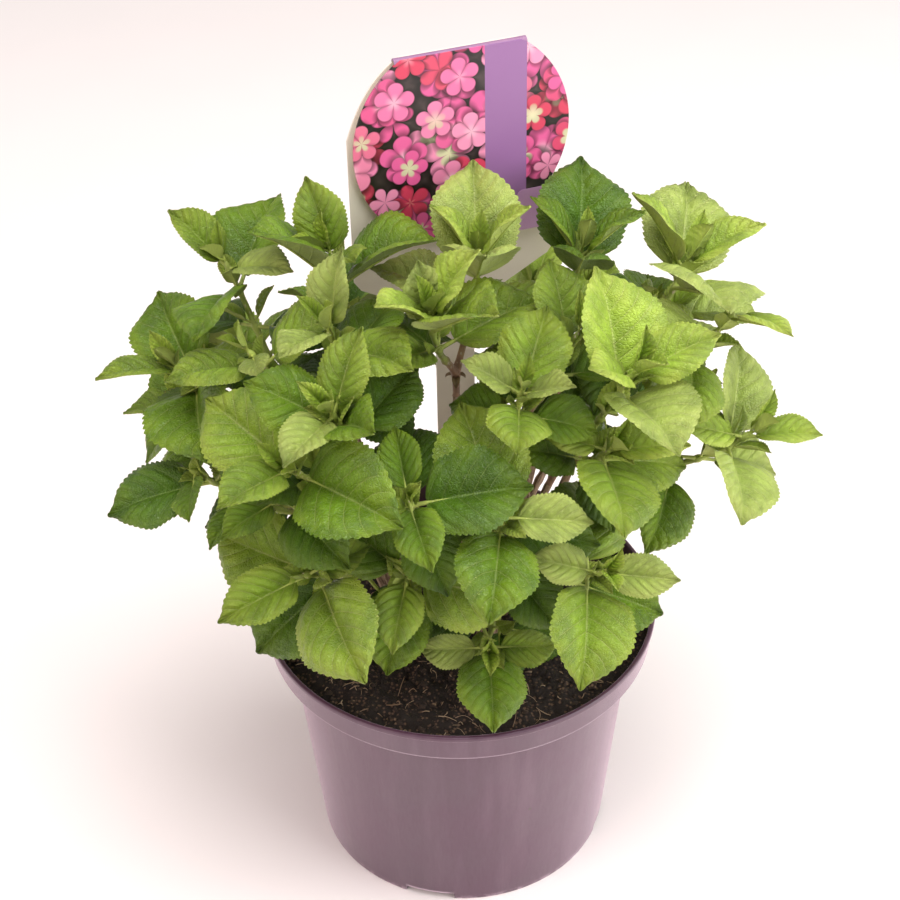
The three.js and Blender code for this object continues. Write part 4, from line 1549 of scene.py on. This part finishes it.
@dataclass(frozen=True)
class Canes:
    """Woody canes with swollen nodes, bud scars and split bark."""

    shrub: Shrub
    foot_radius: float = 2.75
    tip_radius: float = 2.05
    sides: int = 14
    row_length: float = 1.4
    node_spacing: float = 41.0

    def _cane(self, spray: Spray) -> Surface:
        """One cane, with a relief 0.16 n + 0.5 e^-(d/2.4)^2 + 1.2 e^-((d-2)/2.4)^2 e^-(c/0.4)^2.

        n is noise over turn and length, d the distance from the next node and c the turn from that
        node's nearer bud scar.

        Args:
            spray: the cane's spray.

        Returns:
            The cane.
        """
        rows = math.ceil(spray.cane.length() / self.row_length)
        share = np.linspace(0, 1, rows)
        centres = spray.cane.at(share)
        along = share[:, None] * spray.cane.length()
        turn = round_turns(self.sides)
        spacing = self.node_spacing * (1 + 0.25 * jitter(spray.number, 1, 0, 9))
        node = np.round(along / spacing - 0.4)
        past = along - (node + 0.4) * spacing
        grain = 0.16 * clouds(np.cos(turn) * 4 + 9, along / 7 + np.sin(turn) * 2, spray.number)
        ring = 0.5 * hump(past, 0, 2.4)
        away = np.abs(np.sin(turn - node * np.pi / 2 - spray.number))
        scar = 1.2 * hump(past, 2, 2.4) * hump(np.arcsin(away), 0, 0.4)
        radii = self.foot_radius + (self.tip_radius - self.foot_radius) * share
        surface = tube(centres, radii, self.sides, grain + ring + scar * (node >= 0))
        surface.points[:self.sides, 2] = SOIL_LEVEL + CLEARANCE
        surface.points[:, 2] = np.maximum(surface.points[:, 2], SOIL_LEVEL + CLEARANCE)
        return surface

    def build(self) -> None:
        """Makes the canes as one piece."""
        surface = Surface.joined([self._cane(spray) for spray in self.shrub.sprays])
        add_piece("canes", surface, [BarkFinish().dress()], self.shrub.nodes("cane"))


@dataclass(frozen=True)
class Shoots:
    """Stems and shoots that grow on from the canes, wood turning green."""

    shrub: Shrub
    radius: float = 2.05
    tip_radius: float = 1.35
    stem_radius: float = 2.1
    stem_ends: tuple[float, float] = (1.9, 1.6)
    fork_swelling: float = 0.7
    node_swelling: float = 0.75
    rows: int = 64
    sides: int = 10
    skin: StemFinish = StemFinish(
        "shoot_skin", (0.36, 0.2, 0.125), (0.32, 0.39, 0.075), (0.6, 0.5, 0.34), 0.008, 0.028)

    def _shoot(self, shoot: Shoot) -> Surface:
        """One shoot, swollen by 0.75 e^-(d/2.2)^2 at a distance d from where a leaf pair stands.

        Args:
            shoot: the shoot.

        Returns:
            The limb.
        """
        place = np.linspace(0, len(SHOOT_STATIONS) - 1, self.rows)
        padded = np.pad(shoot.at(place), ((2, 2), (0, 0)), "edge")
        centres = sum(padded[i:i + self.rows] for i in range(5)) / 5
        length = np.append(0, np.cumsum(np.linalg.norm(np.diff(centres, axis=0), axis=1)))
        nodes = np.interp([pair.at for pair in LEAF_PAIRS[:4]], place, length)
        swelling = self.node_swelling * hump(length[:, None], nodes, 2.2).sum(1)
        swelling += self.fork_swelling * hump(length, 0, 4)
        radii = np.interp(place, place[[0, -1]], [self.radius, self.tip_radius]) + swelling
        radii[-3:] *= (0.9, 0.7, 0.35)
        return tube(centres, radii, self.sides)

    def _stem(self, spray: Spray) -> Surface:
        """The stem from inside the cane's tip to the fork.

        Args:
            spray: the stem's spray.

        Returns:
            The limb.
        """
        share = np.linspace(-0.06, 1.04, 14)
        centres = spray.start + share[:, None] * (spray.fork - spray.start)
        radii = self.stem_radius + self.fork_swelling * hump(share, 1, 0.25)
        radii[0], radii[-1] = self.stem_ends
        return tube(centres, radii, self.sides)

    def build(self) -> None:
        """Makes the stems and the shoots, a piece of each."""
        nodes = self.shrub.nodes("foliage")
        skin = self.skin.dress()
        stems = Surface.joined([self._stem(spray) for spray in self.shrub.sprays])
        stems.places[:, 1] = 0.0
        shoots = Surface.joined([self._shoot(shoot) for shoot in self.shrub.shoots()])
        add_piece("spray_stems", stems, [skin], nodes)
        add_piece("shoots", shoots, [skin], nodes)


@dataclass(frozen=True)
class Remains:
    """What last year left: dry scales round each fork and pruned stubs beside some of them."""

    shrub: Shrub
    scale_blade: Blade = Blade(
        teeth=4, columns=(0.5, 1.0), tooth_depth=0.0, thickness=0.35, crease=0.4, stalk_sides=4)
    dry: PlainFinish = PlainFinish("dry_scale", (0.2, 0.115, 0.06), (0.4, 0.28, 0.17), 0.75, 900.0)
    cut: PlainFinish = PlainFinish("pruned_wood", (0.3, 0.2, 0.13), (0.52, 0.4, 0.28), 0.8, 1200.0, 0.0003)
    scales_at_fork: int = 4
    first_seed: int = 9000
    stub_every: int = 3
    stub_radius: float = 1.5

    def _scales(self, spray: Spray) -> list[Leaf]:
        """Dry scales that curl back from the fork.

        Args:
            spray: the spray.

        Returns:
            The scales, as small leaves.
        """
        axis = unit(spray.fork - spray.start)
        scales = []
        for number in range(self.scales_at_fork):
            noise = [jitter(spray.number, number, 2, use) for use in range(4)]
            out = outward(axis, 90 * number + 25 * noise[0])
            root = spray.fork - axis * (1.0 + 2.0 * abs(noise[1]))
            scales.append(Leaf(root, axis, out, np.cross(axis, out), math.radians(38 + 26 * noise[2]),
                               math.radians(70), math.radians(24), 1.6, 7.0 + 2.6 * noise[3], 0.5,
                               self.first_seed + spray.number * 8 + number))
        return scales

    def _stub(self, spray: Spray) -> Surface:
        """A short stub with a flat cut, that leans out from under the fork.

        Args:
            spray: the spray.

        Returns:
            The limb.
        """
        axis = unit(spray.fork - spray.start)
        lean = unit(axis + 0.75 * outward(axis, 200 + 90 * jitter(spray.number, 5, 2, 0)))
        length = 15 + 5 * jitter(spray.number, 5, 2, 1)
        share = np.linspace(0, 1, 12)
        radii = self.stub_radius * (1.25 - 0.4 * share + 0.3 * hump(share, 0.93, 0.07))
        return tube(spray.start + 2 * axis + share[:, None] * length * lean, radii, 8)

    def build(self) -> None:
        """Makes the scales and the stubs, a piece of each."""
        nodes = self.shrub.nodes("foliage")
        scales = [leaf for spray in self.shrub.sprays for leaf in self._scales(spray)]
        add_piece("bud_scales", self.scale_blade.build(scales), [self.dry.dress()] * 3, nodes)
        stubs = Surface.joined([self._stub(spray) for spray in self.shrub.sprays[1::self.stub_every]])
        add_piece("pruned_stubs", stubs, [self.cut.dress()], nodes[1::self.stub_every])


# ---- pot and soil

@dataclass(frozen=True)
class Pot:
    """A nursery pot with a stepped collar, a rounded lip, notches in its foot and drain holes.

    It is built in as many sectors as it has holes, with a notch over every second border of two.
    """

    height: float = 163.0
    rim_radius: float = 115.0
    shoulder_radius: float = 101.0
    foot_radius: float = 88.0
    foot_step: float = 6.0
    floor_top: float = 8.0
    pad_radius: float = 45.0
    ring_inside: float = 84.0
    floor_radius: float = 86.2
    turn: float = 8.5
    sectors: int = 8
    notch_width: float = 30.0
    drain_radius: float = 5.0
    drain_circle: float = 70.0
    steps_in_sector: int = 18
    hole_rings: int = 5

    @property
    def notch_edge(self) -> float:
        """The turn from a sector's middle to where a notch may begin."""
        return np.pi / self.sectors - math.asin(self.notch_width / 2 / self.foot_radius)

    def _sector_angles(self) -> Array:
        """Turns over one sector, with a close pair where a notch may end.

        Returns:
            The turns, in rising order.
        """
        pairs = [side * self.notch_edge + step for side in (-1, 1) for step in (-5e-4, 5e-4)]
        even = np.linspace(-1, 1, self.steps_in_sector + 1) * np.pi / self.sectors
        return np.sort(np.append(even, pairs))

    def _shells(self) -> list[Surface]:
        """The turned parts: wall and lip, the pad under the middle and its top.

        Returns:
            The open shells.
        """
        wall = rounded([
            (self.ring_inside, self.foot_step, 0), (self.ring_inside, 0, 0.5), (self.foot_radius, 0, 0.9),
            (88.47, 5.0, 0), (88.66, 7.0, 0), (89.04, 11.0, 0), (self.shoulder_radius, 137, 3.0),
            (112.7, 145, 1.6), (114.1, 160, 0.35), (self.rim_radius, 160, 0.4),
            (self.rim_radius, self.height, 1.2), (112.3, self.height, 1.0), (110.9, 146, 2.0),
            (99.2, 138, 2.0), (self.floor_radius, self.floor_top, 0)], 5)
        pad = np.array([(0, 0), (44.4, 0), (45.4, 1.2), (47, self.foot_step)], float)
        pad_top = np.array([(self.pad_radius, self.floor_top), (43, 2), (0, 2)], float)
        sector = self._sector_angles()[:-1]
        number = np.arange(self.sectors)[:, None]
        angles = (math.radians(self.turn) + number * 2 * np.pi / self.sectors + sector).ravel()
        is_notch = np.where(number % 2 == 1, sector > self.notch_edge, sector < -self.notch_edge).ravel()
        walls = np.repeat(wall[None], len(angles), 0)
        lifted = np.maximum(walls[..., 1], self.foot_step - 1)
        walls[..., 1] = np.where(is_notch[:, None], lifted, walls[..., 1])
        return [turned(walls, angles), turned(pad, angles), turned(pad_top, angles)]

    def _floor(self, inner: float, outer: float, height: float, faces_up: bool) -> Surface:
        """The floor round the drain holes: in each sector, lines run from hole to border.

        Args:
            inner: its inner radius.
            outer: its outer radius.
            height: its height.
            faces_up: whether it is the floor's top.

        Returns:
            The pierced ring.
        """
        sector = self._sector_angles()
        sides = np.linspace(0, 1, 7)[1:-1]
        radii = np.concatenate([np.full(len(sector), outer), outer + (inner - outer) * sides,
                                np.full(len(sector), inner), inner + (outer - inner) * sides])
        turns = np.concatenate([sector, np.full(5, sector[-1]), sector[::-1], np.full(5, sector[0])])
        border = np.stack([radii * np.cos(turns), radii * np.sin(turns)], -1)
        centre = np.array([self.drain_circle, 0.0])
        hole = centre + self.drain_radius * unit(border - centre)
        share = np.linspace(0, 1, self.hole_rings)[:, None, None]
        flat = hole * (1 - share) + border * share
        grid = np.concatenate([flat, np.full((*flat.shape[:2], 1), height)], -1)
        faces = grid_faces(*grid.shape[:2], wrap_columns=True)
        faces = faces[:, ::-1] if faces_up else faces
        parts = []
        for number in range(self.sectors):
            a = math.radians(self.turn) + 2 * np.pi * number / self.sectors
            spin = np.array([[math.cos(a), math.sin(a), 0], [-math.sin(a), math.cos(a), 0], [0, 0, 1]])
            parts.append(Surface.of(grid @ spin, [faces]))
        return Surface.joined(parts)

    def _holes(self) -> Surface:
        """The floor's two faces, and the walls of the drain holes between them.

        Returns:
            The pierced floor.
        """
        below = self._floor(47, self.ring_inside, self.foot_step, False)
        above = self._floor(self.pad_radius, self.floor_radius, self.floor_top, True)
        count = len(below.points) // self.sectors
        ring = count // self.hole_rings
        parts = []
        for number in range(self.sectors):
            low = below.points[number * count:number * count + ring]
            high = above.points[number * count:number * count + ring]
            parts.append(Surface.of(np.stack([low, high]), [grid_faces(2, ring, wrap_columns=True)]))
        return Surface.joined([below, above, *parts])

    def build(self) -> None:
        """Makes the pot."""
        surface = Surface.joined([*self._shells(), self._holes()]).welded()
        add_piece("pot_shell", surface, [PotFinish().dress()], ["pot"])


@dataclass(frozen=True)
class Soil:
    """The peat in the pot: a crumbly top heaped a little round the canes, with fibres and crumbs."""

    feet: Array
    edge_radius: float = 110.9
    edge_level: float = 150.5
    rings: int = 110
    turns: int = 320
    crumbs: int = 1500
    fibres: int = 440

    def _relief(self, x: Array, y: Array) -> Array:
        """Height over the flat top: three sizes of clods, and a heap e^(-d^2/30) round each cane.

        Args:
            x: places across.
            y: places along.

        Returns:
            The heights.
        """
        sizes = ((1.6, 11), (1.3, 4.3), (0.8, 1.9))
        clods = sum(height * clouds(x / size, y / size, i + 1) for i, (height, size) in enumerate(sizes))
        away = np.min((x[..., None] - self.feet[:, 0]) ** 2 + (y[..., None] - self.feet[:, 1]) ** 2, -1)
        heap = np.exp(-away / 30)
        fade = 1 - smooth(self.edge_radius - 3, self.edge_radius, np.hypot(x, y))
        return (clods * (1 - 0.7 * heap) + 1.3 * heap) * fade

    def _level(self, x: Array, y: Array) -> Array:
        """Height of the top, which dips at the pot's wall."""
        dip = (SOIL_LEVEL - self.edge_level) * smooth(90, self.edge_radius, np.hypot(x, y))
        return SOIL_LEVEL - dip + self._relief(x, y)

    def _body(self) -> Surface:
        """The top as rings of points, and under it the turned lump that fills the pot.

        Returns:
            The closed lump.
        """
        angles = round_turns(self.turns)
        radii = np.linspace(self.edge_radius, 0, self.rings)
        x, y = radii * np.cos(angles)[:, None], radii * np.sin(angles)[:, None]
        top = Surface.of(np.stack([x, y, self._level(x, y)], -1),
                         [grid_faces(self.turns, self.rings, wrap_rows=True)[:, ::-1]])
        # The lump keeps 0.3 mm or more inside the pot's floor and wall.
        lump = np.array([(0, 2.3), (42.7, 2.3), (44.7, 8.3), (85.9, 8.3), (98.9, 138.3), (110.4, 146.3),
                         (self.edge_radius, self.edge_level)], float)
        return Surface.joined([top, turned(lump, angles)]).welded()

    def _scatter(self, count: int, seed: int, reach: float) -> tuple[Array, Array, Array]:
        """Even random places on the top.

        Args:
            count: how many.
            seed: picks the places.
            reach: how far from the middle they go.

        Returns:
            The places across, along and up.
        """
        number = np.arange(count)
        radius = reach * np.sqrt(hashed(number, seed))
        turn = 2 * np.pi * hashed(number, seed + 1)
        x, y = radius * np.cos(turn), radius * np.sin(turn)
        return x, y, self._level(x, y)

    def _crumbs(self) -> Surface:
        """Rough eight-sided lumps, half sunk in the top.

        Returns:
            The crumbs.
        """
        x, y, z = self._scatter(self.crumbs, 20, 107)
        number = np.arange(self.crumbs)[:, None]
        size = 0.5 + 2.4 * hashed(number, 31) ** 3
        corners = np.array([[1, 0, 0], [0, 1, 0], [-1, 0, 0], [0, -1, 0], [0, 0, 1], [0, 0, -1]], float)
        lumpy = size * (0.65 + 0.7 * hashed(number, 32, np.arange(6)[None]))
        spin = 2 * np.pi * hashed(number, 33)
        turned_x = corners[:, 0] * np.cos(spin) - corners[:, 1] * np.sin(spin)
        turned_y = corners[:, 0] * np.sin(spin) + corners[:, 1] * np.cos(spin)
        stretch = 0.7 + 0.9 * hashed(number, 34)
        points = np.stack([x[:, None] + turned_x * lumpy * stretch, y[:, None] + turned_y * lumpy,
                           z[:, None] + 0.2 + corners[:, 2] * lumpy * 0.75], -1)
        ring = np.arange(4)
        cap = np.stack([ring, (ring + 1) % 4, np.full(4, 4)], -1)
        foot = np.stack([(ring + 1) % 4, ring, np.full(4, 5)], -1)
        return Surface.copies(points, [np.concatenate([cap, foot])])

    def _fibres(self) -> Surface:
        """Bent fibres that lie on the top.

        Returns:
            The fibres.
        """
        x, y, _ = self._scatter(self.fibres, 40, 106)
        t = np.linspace(0, 1, 7)[:, None]
        parts = []
        for number in range(self.fibres):
            noise = [float(hashed(number, use)) for use in range(50, 55)]
            length = 2.5 + 10 * noise[0] ** 3 + (12 if number % 29 == 0 else 0)
            side = 0.22 * length * (2 * noise[2] - 1)
            way = polar(2 * math.pi * noise[1], 1)[:2]
            square = np.array([-way[1], way[0]])
            flat = np.array([x[number], y[number]]) + (t - 0.5) * length * way
            flat = flat + 4 * t * (1 - t) * side * square
            flat *= np.minimum(1, 107 / np.maximum(np.hypot(flat[:, :1], flat[:, 1:]), 1))
            lift = 0.6 + 1.8 * noise[3] * np.sin(np.pi * t[:, 0])
            level = np.convolve(np.pad(self._level(*flat.T), 2, "edge"), np.full(5, 0.2), "valid")
            radii = (0.14 + 0.22 * noise[4]) * (1 - 0.5 * t[:, 0])
            parts.append(tube(np.column_stack([flat, level + lift]), radii, 4))
        return Surface.joined(parts)

    def build(self) -> None:
        """Makes the peat, its crumbs and its fibres."""
        add_piece("peat_top", self._body(), [PeatFinish().dress()], ["soil"])
        crumb = PeatFinish((0.042, 0.026, 0.018), (0.23, 0.145, 0.09), "peat_crumb")
        add_piece("peat_crumbs", self._crumbs(), [crumb.dress()], ["soil"], is_smooth=False)
        fibre = PlainFinish("peat_fibre", (0.26, 0.15, 0.085), (0.62, 0.47, 0.31), 0.8, 120.0)
        add_piece("peat_fibres", self._fibres(), [fibre.dress()], ["soil"])


# ---- label

@dataclass(frozen=True)
class Label:
    """A card on a stake: a cream panel, folded over at the top into a round printed flap."""

    sheet: float = 1.0
    back: float = 92.0
    yaw: float = 20.0
    shift: float = 5.0
    disc_radius: float = 63.0
    disc_height: float = 418.0
    fold_rise: float = 53.0
    opening: float = 4.2
    flag_width: float = 34.0
    flag_height: float = 26.0
    flag_drop: float = 65.0
    flag_corner: float = 4.0
    panel_half: float = 61.0
    panel_shift: float = 1.0
    panel_drop: float = 84.0
    panel_corner: float = 44.0
    stake_width: float = 24.0
    stake_depth: float = 32.0
    stake_shoulder: float = 26.0

    @property
    def across(self) -> Array:
        """The way across the card."""
        return polar(math.radians(self.yaw), 1)

    @property
    def front(self) -> Array:
        """The way that the card faces."""
        return polar(math.radians(self.yaw - 90), 1)

    @property
    def centre(self) -> float:
        """Height of the round flap's middle over the soil."""
        return self.disc_height - SOIL_LEVEL

    def sample_rows(self) -> list[Array]:
        """Places that the card keeps clear of leaves, row by row.

        Returns:
            The points of each row.
        """
        rows = []
        for height in np.arange(SOIL_LEVEL, self.disc_height + self.fold_rise + 1e-6, 5):
            is_wide = height > self.disc_height - self.panel_drop - self.stake_shoulder
            half = self.disc_radius + self.shift if is_wide else self.stake_width / 2
            x = np.arange(-half, half + 1e-6, 5)[:, None]
            points = np.array([0, self.back, height]) + x * self.across
            rows.append(points)
            if is_wide:
                rows.append(points + self.opening * self.front)
        return rows

    def _stand(self, x: Array, y: Array, z: Array) -> Array:
        """Points of the card's own plane, x across, y up from the soil and z forward, in their place."""
        x, y, z = (a[..., None] for a in np.broadcast_arrays(x, y, z))
        return [0, self.back, SOIL_LEVEL] + x * self.across + y * [0.0, 0.0, 1.0] + z * self.front

    def _plate(self, y: Array, left: Array, right: Array, z: float, kinds: tuple[int, int],
               columns: int = 25) -> Surface:
        """A flat card between two edges: x = left(y) + s (right(y) - left(y)).

        Args:
            y: heights of its rows.
            left: its left edge at each.
            right: its right edge at each.
            z: middle of its thickness.
            kinds: finish numbers of its front and back.
            columns: points across.

        Returns:
            The closed card.
        """
        x = left[:, None] + (right - left)[:, None] * np.linspace(0, 1, columns)
        rows = y[:, None] + 0 * x
        front, back = (self._stand(x, rows, z + half) for half in (self.sheet / 2, -self.sheet / 2))
        return slab(front, back, np.stack([x, rows], -1) * MM, kinds)

    def _flap(self) -> Surface:
        """The round flap below the fold: half its width is sqrt(R^2 - (y - c)^2).

        Returns:
            The closed card.
        """
        top = math.asin(self.fold_rise / self.disc_radius)
        angle = np.linspace(-np.pi / 2 + 0.02, top, 60)
        y = self.centre + self.disc_radius * np.sin(angle)
        half = self.disc_radius * np.cos(angle)
        y[-1] -= 0.6
        return self._plate(y, self.shift - half, self.shift + half, self.opening, (0, 1))

    def _flag(self) -> Surface:
        """The small flag at the flap's lower right, with round corners.

        Returns:
            The closed card.
        """
        foot = self.centre - self.flag_drop
        middle = self.shift + self.disc_radius + 3 - self.flag_width / 2
        turn = np.linspace(0, np.pi / 2, 7)
        near, far = self.flag_corner * (1 - np.cos(turn)), self.flag_corner * (1 - np.sin(turn))
        y = np.concatenate([foot + near, foot + self.flag_height - far])
        half = self.flag_width / 2 - np.concatenate([far, near])
        return self._plate(y, middle - half, middle + half, self.opening + 0.2, (2, 1), columns=9)

    def _panel(self) -> Surface:
        """The back panel, narrowing by a shoulder to the stake and its point in the soil.

        Returns:
            The closed card.
        """
        fold_y = self.centre + self.fold_rise
        fold_half = math.cos(math.asin(self.fold_rise / self.disc_radius)) * self.disc_radius
        foot, half = self.centre - self.panel_drop, self.stake_width / 2
        left, right = self.panel_shift - self.panel_half, self.panel_shift + self.panel_half
        corner, t = self.panel_corner, np.linspace(0, 1, 16)
        ease = [bent(*bend, t) for bend in (
            (fold_y - corner, fold_y - corner / 4, fold_y - 0.6),
            (left, left + corner / 4, self.shift - fold_half),
            (right, right - corner / 4, self.shift + fold_half))]
        shoulder = foot - self.stake_shoulder
        straight = [(-self.stake_depth, -0.6, 0.6), (-self.stake_depth + half, -half, half),
                    (shoulder - 3, -half, half), (shoulder, -half - 1.5, half + 1.5),
                    (foot - 2, left + 4, right - 4), (foot + 4, left, right)]
        y, lefts, rights = (np.concatenate([np.array(a), b]) for a, b in zip(zip(*straight), ease))
        return self._plate(y, lefts, rights, 0.0, (1, 1))

    def _crease(self) -> Surface:
        """The fold: a half turn of sheet from the panel to the flap.

        Returns:
            The closed half round.
        """
        radius = self.opening / 2
        y = self.disc_height + self.fold_rise - SOIL_LEVEL - radius - self.sheet / 2
        half = math.sqrt(self.disc_radius ** 2 - (y - self.disc_height + SOIL_LEVEL) ** 2)
        angle = np.linspace(0, np.pi, 13)[:, None]
        x = self.shift + np.linspace(half, -half, 21)[None]
        outer, inner = (self._stand(x, y + reach * np.sin(angle), radius - reach * np.cos(angle))
                        for reach in (radius + self.sheet / 2, radius - self.sheet / 2))
        return slab(outer, inner, np.zeros((13, 21, 2)), (3, 1))

    def build(self) -> None:
        """Makes the label: finish 0 is the print, 1 the card, 2 the flag and 3 the worn fold."""
        flag = PlainFinish("label_flag", (0.58, 0.34, 0.54), (0.45, 0.23, 0.44), 0.34, 160.0, 0.00003)
        fold = PlainFinish("label_fold", (0.26, 0.12, 0.24), (0.34, 0.18, 0.3), 0.36, 260.0, 0.00003)
        finishes = [finish.dress() for finish in (BlossomPrint(), CardFinish(), flag, fold)]
        surface = Surface.joined([self._panel(), self._flap(), self._flag(), self._crease()])
        add_piece("label_sheet", surface, finishes, ["label"], is_smooth=False)


# ---- studio

@dataclass(frozen=True)
class Lamp:
    """A soft square lamp."""

    name: str
    place: tuple[float, float, float]
    aim: tuple[float, float, float]
    size: float
    power: float
    colour: Colour = (1.0, 1.0, 1.0)

    def hang(self) -> None:
        """Hangs it, facing its aim."""
        light = bpy.data.lights.new(self.name, "AREA")
        light.size, light.energy, light.color = self.size, self.power, self.colour
        turn = (Vector(self.aim) - Vector(self.place)).to_track_quat("-Z", "Y").to_matrix().to_4x4()
        placed(self.name, light).matrix_world = Matrix.Translation(self.place) @ turn


@dataclass(frozen=True)
class Studio:
    """A pale floor, soft light from the right and above, and the camera."""

    lens: float = 76.84
    eye: tuple[float, float, float] = (-0.0003, -0.854, 0.911)
    pitch: float = 36.79
    roll: float = -1.19
    yaw: float = -0.24
    ambient: float = 0.5
    floor_half: float = 3.0
    lamps: tuple[Lamp, ...] = (
        Lamp("overhead", (0.1, -0.15, 2.1), (0, 0, 0.2), 1.5, 30.0),
        Lamp("right", (1.45, -0.5, 0.9), (0, 0, 0.2), 1.8, 31.5),
        Lamp("left", (-1.3, -1.0, 1.1), (0, 0, 0.2), 1.2, 13.5, (1.0, 0.8, 0.79)),
    )

    def _floor(self) -> None:
        """The floor, as part of the stage."""
        half = self.floor_half
        mesh = bpy.data.meshes.new("floor")
        corners = [(-half, -half, 0), (half, -half, 0), (half, half, 0), (-half, half, 0)]
        mesh.from_pydata(corners, [], [(0, 1, 2, 3)])
        stuff = PlainFinish("floor_paper", (0.965, 0.885, 0.865), (0.975, 0.9, 0.88), 0.7, 12.0, 0.00002)
        mesh.materials.append(stuff.dress())
        placed("floor", mesh)

    def _camera(self) -> None:
        """The camera, turned from its yaw, pitch and roll."""
        yaw, pitch, roll = (math.radians(a) for a in (self.yaw, self.pitch, self.roll))
        level = math.cos(pitch)
        forward = Vector((math.sin(yaw) * level, math.cos(yaw) * level, -math.sin(pitch)))
        side = forward.cross(Vector((0, 0, 1))).normalized()
        top = side.cross(forward)
        right = side * math.cos(roll) + top * math.sin(roll)
        up = top * math.cos(roll) - side * math.sin(roll)
        camera = placed("camera", bpy.data.cameras.new("camera"))
        camera.data.lens = self.lens
        turn = Matrix((right, up, -forward)).transposed().to_4x4()
        camera.matrix_world = Matrix.Translation(self.eye) @ turn
        bpy.context.scene.camera = camera

    def build(self) -> None:
        """Sets the floor, the lamps, the pale surroundings and the camera."""
        self._floor()
        for lamp in self.lamps:
            lamp.hang()
        world = bpy.data.worlds.new("surroundings")
        world.use_nodes = True
        light = world.node_tree.nodes["Background"].inputs
        light["Color"].default_value = (1.0, 0.985, 0.97, 1.0)
        light["Strength"].default_value = self.ambient
        bpy.context.scene.world = world
        bpy.context.scene.view_settings.view_transform = "Standard"
        self._camera()


def main() -> None:
    """Builds the pot, the soil, the label, the plant and the studio, in that order."""
    logging.basicConfig(level=logging.INFO, format="%(name)s: %(message)s")
    label = Label()
    shrub = Shrub(label)
    LOG.info("%d canes, %d shoots", len(shrub.sprays), len(shrub.shoots()))
    soil = Soil(np.array([spray.cane.a for spray in shrub.sprays]))
    for part in (Pot(), soil, label, Canes(shrub), Shoots(shrub), Remains(shrub), Foliage(shrub), Studio()):
        part.build()


if __name__ == "__main__":
    main()
